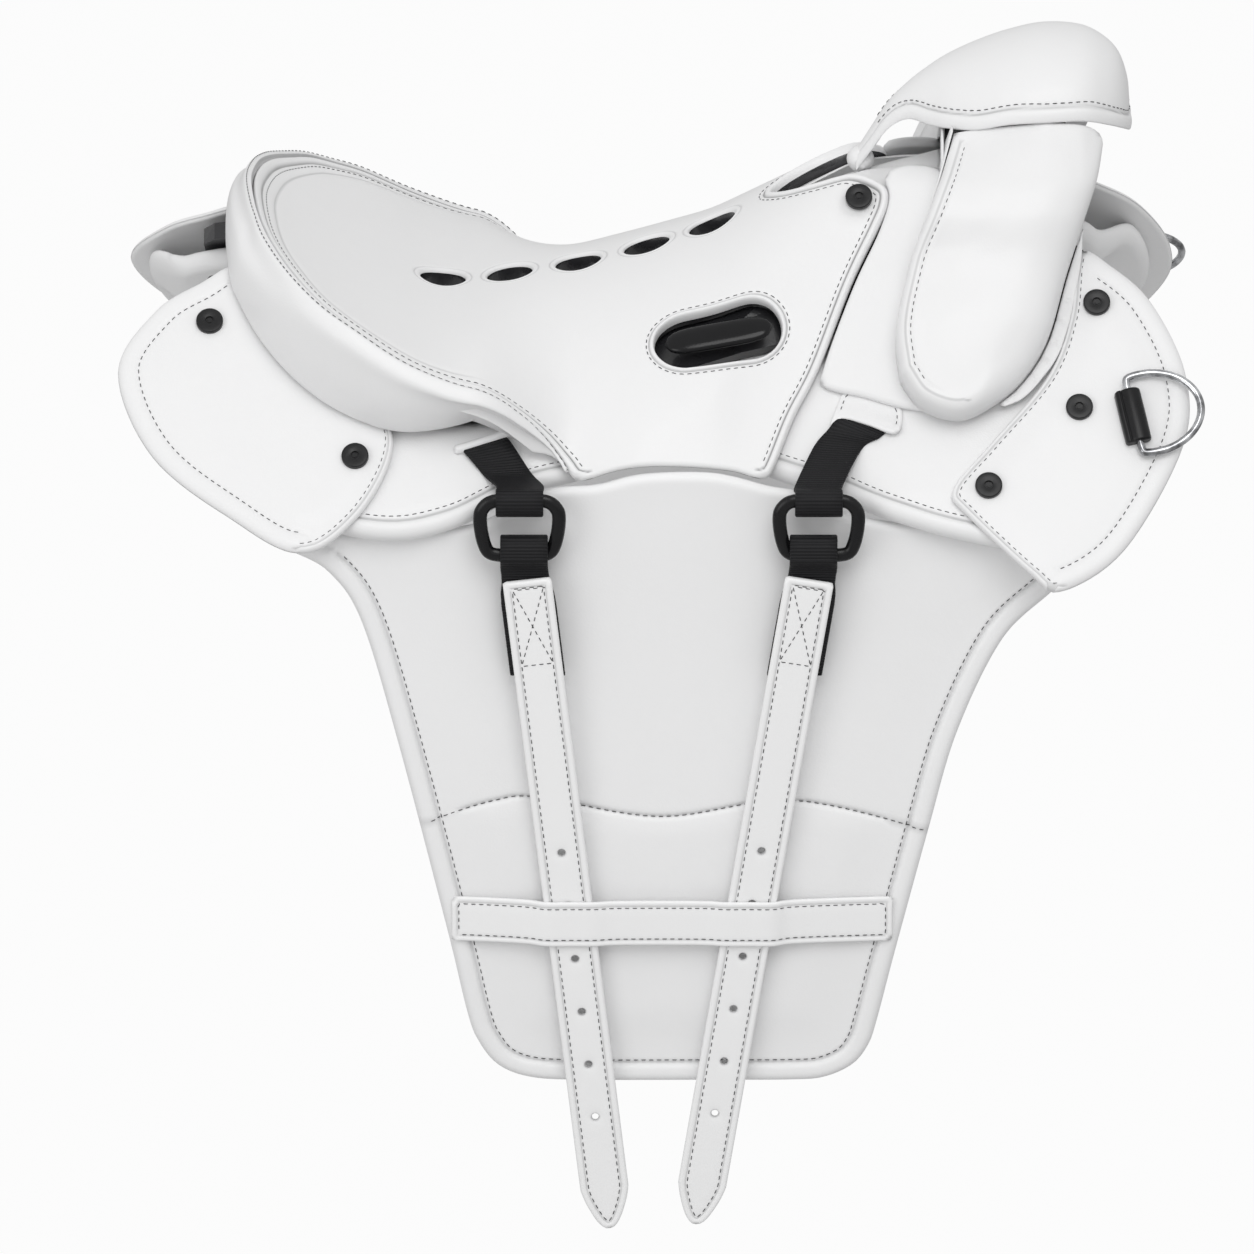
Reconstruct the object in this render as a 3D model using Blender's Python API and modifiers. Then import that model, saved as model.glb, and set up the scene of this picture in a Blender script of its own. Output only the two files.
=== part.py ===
"""Endurance saddle, off side towards -Y, pommel towards +X, at rest on a horse or a saddle rack.

Every leather and tree piece is laid over one shaped form: a ridge with rounded crown and
straight flanks. A piece is cut as a flat pattern, with x along the saddle and t the distance
down from the ridge, and then laid on the form at its own depth below the outer skin.
"""

import math

import bmesh
import bpy
import numpy as np
from mathutils import Matrix, Vector

for old in list(bpy.data.objects):
    bpy.data.objects.remove(old, do_unlink=True)

# Clearances
GAP = 0.0003
SEAM_GAP = 0.0008
BAR_SEAT = 0.0018

# Layers, from the outer skin inwards
SEAT_THICK = 0.0115
BAR_THICK = 0.0100
SKIRT_THICK = 0.0060
PANEL_THICK = 0.0140
UNDERPANEL_THICK = 0.0200
COVER_THICK = 0.0060
CAP_THICK = 0.0060

# Spine channel between the two bars and panels
CHANNEL_HALF = 0.046

# Outer skin of the saddle: x, ridge height, crown radius, slope of the flank in degrees
FORM = (
    (-0.330, 0.097, 0.100, 43.5),
    (-0.240, 0.097, 0.100, 43.5),
    (-0.200, 0.088, 0.130, 44.0),
    (-0.150, 0.064, 0.200, 46.0),
    (-0.109, 0.051, 0.235, 50.0),
    (-0.037, 0.060, 0.205, 53.0),
    (0.000, 0.070, 0.205, 53.6),
    (0.043, 0.084, 0.175, 53.0),
    (0.091, 0.112, 0.100, 49.0),
    (0.130, 0.134, 0.052, 47.0),
    (0.160, 0.137, 0.055, 47.0),
    (0.200, 0.135, 0.070, 48.0),
    (0.263, 0.129, 0.090, 49.0),
    (0.345, 0.125, 0.100, 49.0),
)
FORM_STEP = 0.030
FORM_ENDS = (-0.330, 0.345)
FLANK_LINES = (0.0, 0.020, 0.040, 0.060, 0.080, 0.100, 0.125, 0.150, 0.200, 0.250, 0.320)

# Seat rim from the rear centre to the wing: x, half width, height
RIM = (
    (-0.231, 0.000, 0.112),
    (-0.228, 0.040, 0.109),
    (-0.222, 0.070, 0.103),
    (-0.212, 0.097, 0.095),
    (-0.200, 0.120, 0.087),
    (-0.185, 0.137, 0.077),
    (-0.167, 0.149, 0.067),
    (-0.136, 0.160, 0.049),
    (-0.103, 0.163, 0.036),
    (-0.074, 0.163, 0.032),
)
WING_REAR = ((-0.057, 0.168), (-0.046, 0.178), (-0.040, 0.187), (-0.034, 0.190))
WING_FOOT = ((-0.011, 0.189), (0.026, 0.194), (0.053, 0.201), (0.071, 0.210))
WING_FRONT = ((0.078, 0.207), (0.091, 0.177), (0.106, 0.150), (0.125, 0.103), (0.141, 0.070))
HORN = ((0.147, 0.055), (0.147, 0.044), (0.139, 0.036))
THROAT = ((0.125, 0.028), (0.105, 0.022), (0.090, 0.015), (0.081, 0.006), (0.079, 0.000))
SEAT_CENTRE = (
    (-0.231, 0.112),
    (-0.222, 0.100),
    (-0.210, 0.089),
    (-0.195, 0.080),
    (-0.175, 0.070),
    (-0.150, 0.060),
    (-0.118, 0.050),
    (-0.078, 0.053),
    (-0.037, 0.060),
)
DISH_ENDS = (-0.100, -0.039)

# Distance down the form over which the wing thins and the panel rises to it
WING_EDGE = (0.125, 0.150)

# Ventilation holes on the seat's centre line
VENT_X = (-0.118, -0.078, -0.037, 0.004, 0.043)
VENT_LONG = 0.0270
VENT_WIDE = 0.0280

# Slot in each wing over the stirrup bar
SLOT_X = 0.046
SLOT_DOWN = 0.112
SLOT_LONG = 0.0760
SLOT_WIDE = 0.0400
SLOT_TILT = 12.0

# Stirrup bar
STIRRUP_LONG = 0.0640
STIRRUP_WIDE = 0.0150
STIRRUP_PLATE = 0.0045
STIRRUP_SPAN = 0.0440

# Padded cantle roll: foot of the roll, x and distance down the form
ROLL_FOOT = (
    (-0.243, 0.000),
    (-0.243, 0.038),
    (-0.240, 0.074),
    (-0.231, 0.098),
    (-0.218, 0.120),
    (-0.199, 0.141),
    (-0.174, 0.155),
    (-0.140, 0.161),
    (-0.106, 0.151),
    (-0.084, 0.141),
)
ROLL_FOOT_TOP = 0.080
ROLL_BULGE = 0.0110

# Where the panel rises to the skirts behind and in front of the tree
PANEL_RISE_REAR = (-0.300, -0.272)
PANEL_RISE_FRONT = (0.272, 0.300)

# Wooden cantle board inside the roll
BOARD_FOOT = (
    (-0.222, 0.000),
    (-0.222, 0.038),
    (-0.222, 0.066),
    (-0.215, 0.084),
    (-0.203, 0.100),
    (-0.187, 0.110),
    (-0.168, 0.115),
    (-0.138, 0.118),
    (-0.106, 0.118),
    (-0.084, 0.116),
)
BOARD_FOOT_TOP = 0.0715
BOARD_INSET = (0.007, 0.031)
BOARD_DROP = (0.026, 0.0170)
BOARD_THICK = 0.0050

# Pommel cap: x, half width, top height, hem height
CAP = (
    (0.129, 0.0100, 0.1300, 0.1205),
    (0.137, 0.0110, 0.1430, 0.1320),
    (0.148, 0.0140, 0.1600, 0.1480),
    (0.160, 0.0200, 0.1720, 0.1560),
    (0.172, 0.0310, 0.1810, 0.1560),
    (0.184, 0.0420, 0.1880, 0.1570),
    (0.200, 0.0510, 0.1950, 0.1590),
    (0.218, 0.0570, 0.2010, 0.1640),
    (0.240, 0.0590, 0.2060, 0.1660),
    (0.262, 0.0560, 0.2050, 0.1660),
    (0.276, 0.0470, 0.1990, 0.1610),
    (0.285, 0.0350, 0.1900, 0.1550),
    (0.290, 0.0190, 0.1760, 0.1490),
    (0.2915, 0.0000, 0.1620, 0.1470),
)
CAP_ANGLES = (0, 22, 42, 60, 76, 90)

# Fork of the tree under the cap
FORK_REAR = 0.181
FORK_FRONT = 0.252
SWELL = ((0.0480, 0.1500), (0.0610, 0.1300), (0.0740, 0.1060))
FORK_FOOT = 0.132
GULLET_DEPTH = 0.020

# Neck between the seat's throat and the fork: x, height, radius
NECK = (
    (0.087, 0.0925, 0.0050),
    (0.098, 0.0960, 0.0080),
    (0.120, 0.1030, 0.0100),
    (0.150, 0.1110, 0.0110),
)
NECK_END = (0.1180, 0.0120)

# Knee pad: row down the fork, x at its rear and front edge, how far it stands out
PAD_ROWS = (
    (0, 0.188, 0.278, 0.006),
    (1, 0.178, 0.272, 0.022),
    (2, 0.169, 0.262, 0.030),
    (3, 0.159, 0.252, 0.032),
    (4, 0.150, 0.240, 0.029),
    (5, 0.150, 0.228, 0.021),
    (6, 0.168, 0.205, 0.008),
)
PAD_DOWN = (0.105, 0.145, 0.174, 0.196)
PAD_ACROSS = (0.30, 0.85, 1.00, 0.85, 0.30)

# Patterns of the flat pieces: x and distance down the form
REAR_SKIRT = (
    (-0.236, 0.062),
    (-0.262, 0.075),
    (-0.288, 0.094),
    (-0.309, 0.134),
    (-0.288, 0.190),
    (-0.241, 0.231),
    (-0.200, 0.250),
    (-0.168, 0.222),
    (-0.147, 0.178),
    (-0.152, 0.152),
    (-0.190, 0.140),
    (-0.220, 0.104),
)
FRONT_SKIRT = (
    (0.260, 0.086),
    (0.280, 0.095),
    (0.303, 0.118),
    (0.322, 0.162),
    (0.320, 0.208),
    (0.285, 0.274),
    (0.247, 0.302),
    (0.231, 0.294),
    (0.192, 0.256),
    (0.184, 0.240),
    (0.206, 0.211),
    (0.240, 0.167),
    (0.254, 0.128),
)
PANEL_EDGE = (
    (-0.290, 0.100),
    (-0.297, 0.130),
    (-0.282, 0.180),
    (-0.240, 0.216),
    (-0.190, 0.226),
    (-0.145, 0.225),
    (-0.109, 0.213),
    (-0.060, 0.190),
    (0.000, 0.184),
    (0.050, 0.193),
    (0.098, 0.220),
    (0.134, 0.246),
    (0.180, 0.265),
    (0.236, 0.272),
    (0.280, 0.246),
    (0.308, 0.190),
    (0.304, 0.140),
    (0.280, 0.110),
)
PANEL_INNER = (
    (0.262, 0.092),
    (0.200, 0.084),
    (0.120, 0.082),
    (0.060, 0.062),
    (-0.030, 0.056),
    (-0.190, 0.058),
    (-0.262, 0.075),
)
UNDERPANEL_EDGE = (
    (-0.268, 0.100),
    (-0.270, 0.130),
    (-0.240, 0.165),
    (-0.180, 0.172),
    (-0.100, 0.165),
    (0.000, 0.158),
    (0.090, 0.165),
    (0.180, 0.185),
    (0.250, 0.180),
    (0.280, 0.140),
    (0.266, 0.110),
)
UNDERPANEL_INNER = (
    (0.240, 0.104),
    (0.180, 0.102),
    (0.110, 0.103),
    (0.056, 0.083),
    (-0.030, 0.064),
    (-0.180, 0.064),
    (-0.240, 0.080),
)
BAR_EDGE = (
    (-0.256, 0.062),
    (-0.262, 0.085),
    (-0.250, 0.108),
    (-0.200, 0.118),
    (-0.120, 0.122),
    (0.000, 0.125),
    (0.140, 0.122),
    (0.200, 0.125),
    (0.256, 0.120),
    (0.268, 0.095),
    (0.256, 0.074),
    (0.200, 0.064),
    (0.120, 0.062),
    (0.050, CHANNEL_HALF + 0.004),
    (-0.030, CHANNEL_HALF),
    (-0.120, CHANNEL_HALF),
    (-0.210, 0.052),
)
COVER_EDGE = (
    (0.151, 0.048),
    (0.145, 0.072),
    (0.129, 0.105),
    (0.110, 0.150),
    (0.110, 0.163),
    (0.133, 0.177),
    (0.160, 0.188),
    (0.180, 0.186),
    (0.190, 0.150),
    (0.186, 0.116),
    (0.171, 0.108),
    (0.170, 0.050),
)

# Screws: name, x, distance down the form
SCREWS = (
    ("seat_screw", 0.130, 0.048),
    ("rear_skirt_screw_1", -0.255, 0.103),
    ("rear_skirt_screw_2", -0.168, 0.182),
    ("front_skirt_screw_1", 0.270, 0.120),
    ("front_skirt_screw_2", 0.259, 0.187),
    ("front_skirt_screw_3", 0.205, 0.239),
)
SCREW_RADIUS = 0.0080
SCREW_HEIGHT = 0.0032
SCREW_SLOT = 0.0016

# Dee ring and its keeper on the front skirt
DEE_X = 0.291
DEE_DOWN = 0.193
DEE_TILT = 12.0
DEE_WIRE = 0.0023
DEE_BAR = 0.0500
DEE_REACH = 0.0400
KEEPER_LONG = 0.0330
KEEPER_WIDE = 0.0150
KEEPER_THICK = 0.0088

# Rigging: a webbing loop from the panel holds each ring, and each ring holds a billet
RIG_PIVOT = (-0.184, -0.027)
RING_DROP = 0.034
RING_WIRE = 0.0035
RING_HALF = 0.0245
RING_CORNER = 0.0070
RING_TAPER = 0.0022
WEB_THICK = 0.0026
WEB_WIDE = 0.0280
WEB_SLACK = 0.0009
RIG_FRONT = (0.133, 0.105, 0.192, 0.2045)
RIG_REAR = (-0.093, -0.071, 0.160, 0.184)
RIG_LIFT = 0.0045
WEB_LEG = 0.075

# Billets
BILLET_WIDE = 0.0290
BILLET_THICK = 0.0040
BILLET_TOP = 0.0140
BILLET_LONG = 0.430
BILLET_POINT = 0.026
BILLET_FACE = -0.190
HOLE_RADIUS = 0.0020
HOLE_FIRST = 0.187
HOLE_STEP = 0.0340
HOLES = 6
BILLET_FRONT = (0.1020, -9.24)
BILLET_REAR = (-0.0684, 6.70)

# Sweat flap, hinged along its top edge, as x and height
FLAP_PIVOT = (-0.1635, -0.034)
FLAP_THICK = 0.0090
FLAP_FLARE = 0.0110
FLAP_LEVEL = -0.280
FLAP_EDGE = (
    (-0.208, -0.066),
    (-0.183, -0.080),
    (-0.165, -0.108),
    (-0.142, -0.189),
    (-0.115, -0.300),
    (-0.103, -0.354),
    (-0.092, -0.380),
    (-0.066, -0.395),
    (0.000, -0.397),
    (0.105, -0.396),
    (0.128, -0.387),
    (0.140, -0.365),
    (0.152, -0.314),
    (0.171, -0.238),
    (0.188, -0.176),
    (0.215, -0.118),
    (0.246, -0.090),
)
FLAP_TOP = (
    (0.238, -0.0770),
    (0.180, -0.0620),
    (0.152, -0.0550),
    (0.130, -0.0484),
    (0.112, -0.0388),
    (0.098, -0.0295),
    (0.076, -0.0252),
    (0.056, -0.0196),
    (0.040, -0.0168),
    (0.015, -0.0166),
    (-0.005, -0.0186),
    (-0.025, -0.0240),
    (-0.052, -0.0268),
    (-0.070, -0.0362),
    (-0.086, -0.0458),
    (-0.105, -0.0570),
    (-0.150, -0.0612),
)
KEEPER_LEVEL = -0.291
STRAP_HIGH = 0.0280
STRAP_THICK = 0.0024
STRAP_ENDS = (-0.112, 0.150)

# Colours: base colour, roughness, metallic
LOOKS = {
    "white_leather": ((0.86, 0.86, 0.87, 1.0), 0.42, 0.0),
    "white_padding": ((0.80, 0.80, 0.82, 1.0), 0.60, 0.0),
    "black_webbing": ((0.025, 0.025, 0.028, 1.0), 0.75, 0.0),
    "black_plastic": ((0.02, 0.02, 0.022, 1.0), 0.35, 0.0),
    "black_tree": ((0.03, 0.03, 0.033, 1.0), 0.25, 0.0),
    "chrome": ((0.75, 0.76, 0.78, 1.0), 0.12, 1.0),
}

parts = bpy.data.collections.new("endurance_saddle")
cutters = bpy.data.collections.new("cutters")
bpy.context.scene.collection.children.link(parts)
bpy.context.scene.collection.children.link(cutters)
cutters.hide_render = True


def material(name):
    made = bpy.data.materials.get(name)
    if made is None:
        colour, roughness, metallic = LOOKS[name]
        made = bpy.data.materials.new(name)
        made.use_nodes = True
        shader = made.node_tree.nodes["Principled BSDF"]
        shader.inputs["Base Color"].default_value = colour
        shader.inputs["Roughness"].default_value = roughness
        shader.inputs["Metallic"].default_value = metallic
        made.diffuse_color = colour
    return made


# The form

X_LINES = np.arange(FORM_ENDS[0], FORM_ENDS[1] + FORM_STEP, FORM_STEP)
FORM_TABLE = np.array(FORM)


def skin_node(x, t, depth):
    """A point below the outer skin, from the ridge, crown and flank at x."""
    ridge, crown, slope = (np.interp(x, FORM_TABLE[:, 0], FORM_TABLE[:, i]) for i in (1, 2, 3))
    slope = math.radians(slope)
    turn = min(t / crown, slope)
    straight = max(t - crown * slope, 0.0)
    y = crown * math.sin(turn) + straight * math.cos(slope) - depth * math.sin(turn)
    z = ridge - crown * (1 - math.cos(turn)) - straight * math.sin(slope) - depth * math.cos(turn)
    return Vector((x, -y, z))


def skin(x, t, depth=0.0):
    """The same point on the faceted form, so that pieces on it lie parallel."""
    i = int(np.clip(np.searchsorted(X_LINES, x) - 1, 0, len(X_LINES) - 2))
    j = int(np.clip(np.searchsorted(FLANK_LINES, t) - 1, 0, len(FLANK_LINES) - 2))
    u = (x - X_LINES[i]) / (X_LINES[i + 1] - X_LINES[i])
    v = (t - FLANK_LINES[j]) / (FLANK_LINES[j + 1] - FLANK_LINES[j])
    rows = []
    for k in (i, i + 1):
        near = skin_node(X_LINES[k], FLANK_LINES[j], depth)
        far = skin_node(X_LINES[k], FLANK_LINES[j + 1], depth)
        rows.append(near.lerp(far, v))
    return rows[0].lerp(rows[1], u)


def skin_axes(x, t):
    """Forward, down the flank and outwards at a point of the skin."""
    step = 0.004
    along = (skin_node(x + step, t, 0) - skin_node(x - step, t, 0)).normalized()
    down = (skin_node(x, t + step, 0) - skin_node(x, t - step, 0)).normalized()
    out = down.cross(along).normalized()
    if out.z < 0:
        out = -out
    return along, down, out


def curve_through(points, steps=3, closed=True):
    """A smooth line through the points. An open one leaves the centre line squarely."""
    given = [Vector(p) for p in points]
    if closed:
        given = [given[-1]] + given + given[:2]
    else:
        first, last = given[1].copy(), given[-2].copy()
        first[1], last[1] = -first[1], -last[1]
        given = [first] + given + [last]
    line = []
    for a, b, c, d in zip(given, given[1:], given[2:], given[3:]):
        for k in range(steps):
            s = k / steps
            p = (
                2 * b
                + (c - a) * s
                + (2 * a - 5 * b + 4 * c - d) * s * s
                + (3 * b - a - 3 * c + d) * s**3
            )
            line.append(0.5 * p)
    if not closed:
        line.append(given[-2])
    return line


def cut_pattern(outline, x_lines, y_lines):
    """A flat piece in x and t, creased along the lines of the form, two layers thick."""
    bm = bmesh.new()
    bm.faces.new([bm.verts.new((p[0], p[1], 0.0)) for p in outline])
    for lines, way in ((x_lines, Vector((1, 0, 0))), (y_lines, Vector((0, 1, 0)))):
        for at in lines:
            whole = bm.verts[:] + bm.edges[:] + bm.faces[:]
            bmesh.ops.bisect_plane(bm, geom=whole, dist=1e-6, plane_co=way * at, plane_no=way)
    bmesh.ops.dissolve_degenerate(bm, dist=1e-5, edges=bm.edges[:])
    bmesh.ops.triangulate(bm, faces=bm.faces[:], quad_method="SHORT_EDGE", ngon_method="EAR_CLIP")
    made = bmesh.ops.extrude_face_region(bm, geom=bm.faces[:])
    for v in made["geom"]:
        if isinstance(v, bmesh.types.BMVert):
            v.co.z = 1.0
    return bm


def lay(bm, place):
    """Moves each vertex of a pattern to its place on the saddle."""
    for v in bm.verts:
        v.co = place(v.co.x, v.co.y, v.co.z)
    bmesh.ops.recalc_face_normals(bm, faces=bm.faces[:])


def add_object(name, bm, look, location=(0, 0, 0), smooth=35):
    mesh = bpy.data.meshes.new(name)
    centre = Vector(location)
    bmesh.ops.translate(bm, verts=bm.verts[:], vec=-centre)
    bm.to_mesh(mesh)
    mesh.materials.append(material(look))
    mesh.shade_smooth()
    mesh.set_sharp_from_angle(angle=math.radians(smooth))
    obj = bpy.data.objects.new(name, mesh)
    obj.location = centre
    parts.objects.link(obj)
    return obj


def add_pair(name, bm, look, location=(0, 0, 0), smooth=35):
    """The off-side piece as built, and the near-side piece as its mirror image."""
    twin = bm.copy()
    off = add_object("off_" + name, bm, look, location, smooth)
    bmesh.ops.scale(twin, vec=(1, -1, 1), verts=twin.verts[:])
    bmesh.ops.reverse_faces(twin, faces=twin.faces[:])
    x, y, z = location
    near = add_object("near_" + name, twin, look, (x, -y, z), smooth)
    bm.free()
    twin.free()
    return off, near


def lay_piece(name, outline, look, upper, lower):
    """A piece of the form's own shape between two depths, which may vary over it."""
    bm = cut_pattern(outline, X_LINES, FLANK_LINES)

    def place(x, t, layer):
        depth = (upper if layer < 0.5 else lower)(x, t)
        return skin(x, t, depth)

    lay(bm, place)
    return add_pair(name, bm, look)


def between(value, low, high):
    s = min(max((value - low) / (high - low), 0.0), 1.0)
    return s * s * (3 - 2 * s)


def loft(sections, closed_ends=True, ring=True):
    """Joins sections with the same number of points into one skin."""
    bm = bmesh.new()
    rows = [[bm.verts.new(p) for p in section] for section in sections]
    count = len(rows[0])
    for a, b in zip(rows, rows[1:]):
        for k in range(count if ring else count - 1):
            m = (k + 1) % count
            bm.faces.new((a[k], a[m], b[m], b[k]))
    if closed_ends:
        bm.faces.new(rows[0])
        bm.faces.new(rows[-1])
    bmesh.ops.remove_doubles(bm, verts=bm.verts[:], dist=1e-6)
    bmesh.ops.dissolve_degenerate(bm, dist=1e-7, edges=bm.edges[:])
    bmesh.ops.triangulate(bm, faces=[f for f in bm.faces if len(f.verts) > 4])
    bmesh.ops.recalc_face_normals(bm, faces=bm.faces[:])
    return bm


def mirror_across_centre(obj):
    mirror = obj.modifiers.new("other half", "MIRROR")
    mirror.use_axis = (False, True, False)
    mirror.merge_threshold = 0.00001
    return mirror


def add_cutter(name, bm):
    mesh = bpy.data.meshes.new(name)
    bmesh.ops.recalc_face_normals(bm, faces=bm.faces[:])
    bm.to_mesh(mesh)
    bm.free()
    obj = bpy.data.objects.new(name, mesh)
    obj.hide_render = True
    obj.display_type = "WIRE"
    cutters.objects.link(obj)
    return obj


def cut(obj, cutter):
    boolean = obj.modifiers.new(cutter.name, "BOOLEAN")
    boolean.operation = "DIFFERENCE"
    boolean.object = cutter
    return boolean


def stadium(length, width, steps=6):
    """The outline of a slot with round ends."""
    line = []
    for end in (1, -1):
        for k in range(steps + 1):
            a = math.radians(-90 + 180 * k / steps)
            x = (length - width) / 2 + width / 2 * math.cos(a)
            line.append(Vector((end * x, end * width / 2 * math.sin(a), 0)))
    return line


def prism(outline, matrix, low, high):
    """A flat outline drawn out along its own normal."""
    bottom = [matrix @ Vector((p.x, p.y, low)) for p in outline]
    top = [matrix @ Vector((p.x, p.y, high)) for p in outline]
    return loft([bottom, top])


def frame_at(origin, along, up):
    side = up.cross(along).normalized()
    made = Matrix((along, side, up)).transposed().to_4x4()
    made.translation = origin
    return made


# Seat: one dished shell with its two wings, five vents and two slots

RIM_TABLE = np.array(RIM)
CENTRE_TABLE = np.array(SEAT_CENTRE)


def seat_outline():
    plan = [(x, y) for x, y, z in RIM] + list(WING_REAR) + list(WING_FOOT)
    plan += list(WING_FRONT) + list(HORN) + list(THROAT)
    return curve_through([(x, t, 0) for x, t in plan], steps=2, closed=False)


def seat_point(x, t, layer):
    """The dish behind, blended into the outer skin over the wings."""
    edge = [(a, b) for a, b, c in RIM] + list(WING_REAR)
    edge_x, edge_t = zip(*edge)
    out = np.interp(x, edge_x, edge_t)
    share = min(t / max(out, 1e-4), 1.0)
    centre = np.interp(x, CENTRE_TABLE[:, 0], CENTRE_TABLE[:, 1])
    rim = np.interp(x, RIM_TABLE[:, 0], RIM_TABLE[:, 2])
    dish = Vector((x, -t, centre + (rim - centre) * share**3 - layer * SEAT_THICK * 1.1))
    if x < DISH_ENDS[0]:
        return dish
    wing = SEAT_THICK + (SKIRT_THICK - GAP - SEAT_THICK) * between(t, *WING_EDGE)
    return dish.lerp(skin(x, t, layer * wing), between(x, *DISH_ENDS))


def build_seat():
    outline = seat_outline()
    bm = cut_pattern(outline, X_LINES, FLANK_LINES[1:])
    lay(bm, seat_point)
    open_side = [f for f in bm.faces if all(abs(v.co.y) < 1e-6 for v in f.verts)]
    bmesh.ops.delete(bm, geom=open_side, context="FACES")
    obj = add_object("seat", bm, "white_leather")
    bm.free()
    mirror_across_centre(obj)
    for k, x in enumerate(VENT_X):
        ahead = seat_point(x + 0.006, 0, 0) - seat_point(x - 0.006, 0, 0)
        along = ahead.normalized()
        up = along.cross(Vector((0, 1, 0)))
        if up.z < 0:
            up = -up
        matrix = frame_at(seat_point(x, 0, 0), along, up)
        oval = [
            Vector((VENT_LONG / 2 * math.cos(a), VENT_WIDE / 2 * math.sin(a), 0))
            for a in np.linspace(0, 2 * math.pi, 14, endpoint=False)
        ]
        cut(obj, add_cutter(f"vent_{k + 1}", prism(oval, matrix, -0.03, 0.03)))
    for side, label in ((1, "off"), (-1, "near")):
        bm = prism(stadium(SLOT_LONG, SLOT_WIDE), slot_frame(), -0.015, 0.025)
        if side < 0:
            bmesh.ops.scale(bm, vec=(1, -1, 1), verts=bm.verts[:])
        cut(obj, add_cutter(label + "_slot", bm))
    return obj


def slot_frame():
    """Centre of the stirrup slot, its long axis tilted up towards the pommel."""
    along, down, out = skin_axes(SLOT_X, SLOT_DOWN)
    turn = Matrix.Rotation(-math.radians(SLOT_TILT) * 0.5, 3, out)
    along = (turn @ along).normalized()
    return frame_at(skin(SLOT_X, SLOT_DOWN), along, out)


# Cantle: padded roll outside, wooden board inside


def rim_samples():
    rim = curve_through([(x, y, 0) for x, y, z in RIM + ((-0.057, 0.168, 0),)], 2, False)
    rim = rim[: 2 * (len(RIM) - 1) + 1]
    places = [seat_point(p.x, max(p.y, 0.0), 0) for p in rim]
    outward = []
    for k, p in enumerate(places):
        before = places[max(k - 1, 0)]
        after = places[min(k + 1, len(places) - 1)]
        way = after - before
        if k == 0:
            way = Vector((0, -1, 0))
        n = Vector((way.y, -way.x, 0)).normalized()
        outward.append(n)
    return places, outward


def foot_samples(foot, depth, top):
    line = curve_through([(x, t, 0) for x, t in foot] + [(foot[-1][0] + 0.02, foot[-1][1], 0)], 2, False)
    line = line[: 2 * (len(foot) - 1) + 1]
    found = []
    for p in line:
        q = skin(p.x, max(p.y, 0.0), depth)
        q.z = min(q.z, top)
        found.append(q)
    return found


def build_cantle_roll():
    rim, outward = rim_samples()
    foot = foot_samples(ROLL_FOOT, -0.0006, ROLL_FOOT_TOP)
    up = Vector((0, 0, 1))
    sections = []
    for k, (top, base, n) in enumerate(zip(rim, foot, outward)):
        s = k / (len(rim) - 1)
        full = 1.0 - 0.65 * between(s, 0.75, 1.0)
        drop = base - top
        bulge = n * ROLL_BULGE * full
        under = SEAT_THICK * 1.1
        sections.append(
            [
                top + n * SEAM_GAP,
                top + n * 0.0055 * full + up * 0.0022,
                top + bulge - up * 0.006 * full,
                top + drop * 0.55 + bulge * 0.9,
                base + n * 0.0030 + up * 0.0012,
                base - n * 0.0015 * full + up * 0.0022,
                base - n * 0.0080 * full + up * 0.0110 * full,
                top + drop * 0.62 - n * 0.0060 * full,
                top - up * (under + 0.0030) - n * 0.0010,
                top + n * SEAM_GAP - up * (under + 0.0012),
            ]
        )
    bm = loft(sections)
    centre_face = [f for f in bm.faces if all(abs(v.co.y) < 1e-6 for v in f.verts)]
    bmesh.ops.delete(bm, geom=centre_face, context="FACES")
    obj = add_object("cantle_roll", bm, "white_leather")
    bm.free()
    mirror_across_centre(obj)


def build_cantle_board():
    rim, outward = rim_samples()
    foot = foot_samples(BOARD_FOOT, SEAT_THICK + BAR_SEAT - 2 * GAP, BOARD_FOOT_TOP)
    up = Vector((0, 0, 1))
    sections = []
    for k, (top, base, n) in enumerate(zip(rim, foot, outward)):
        s = k / (len(rim) - 1)
        inset = BOARD_INSET[0] + (BOARD_INSET[1] - BOARD_INSET[0]) * between(s, 0.35, 0.85)
        drop = BOARD_DROP[0] + (BOARD_DROP[1] - BOARD_DROP[0]) * between(s, 0.5, 1.0)
        head = top - n * inset - up * drop
        thick = n * BOARD_THICK
        sections.append([head, head - thick, base - thick + up * BOARD_THICK, base])
    bm = loft(sections)
    centre_face = [f for f in bm.faces if all(abs(v.co.y) < 1e-6 for v in f.verts)]
    bmesh.ops.delete(bm, geom=centre_face, context="FACES")
    obj = add_object("cantle_board", bm, "black_tree")
    bm.free()
    mirror_across_centre(obj)


# Pommel: cap, fork, neck and knee pads

CAP_TABLE = np.array(CAP)


def cap_point(x, angle, inset=0.0):
    wide, top, hem = (np.interp(x, CAP_TABLE[:, 0], CAP_TABLE[:, i]) for i in (1, 2, 3))
    wide = max(wide - inset, min(wide, 0.002))
    rise = max(top - hem - inset, 0.002)
    return Vector((x, -wide * math.sin(angle), hem + rise * math.cos(angle)))


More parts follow.
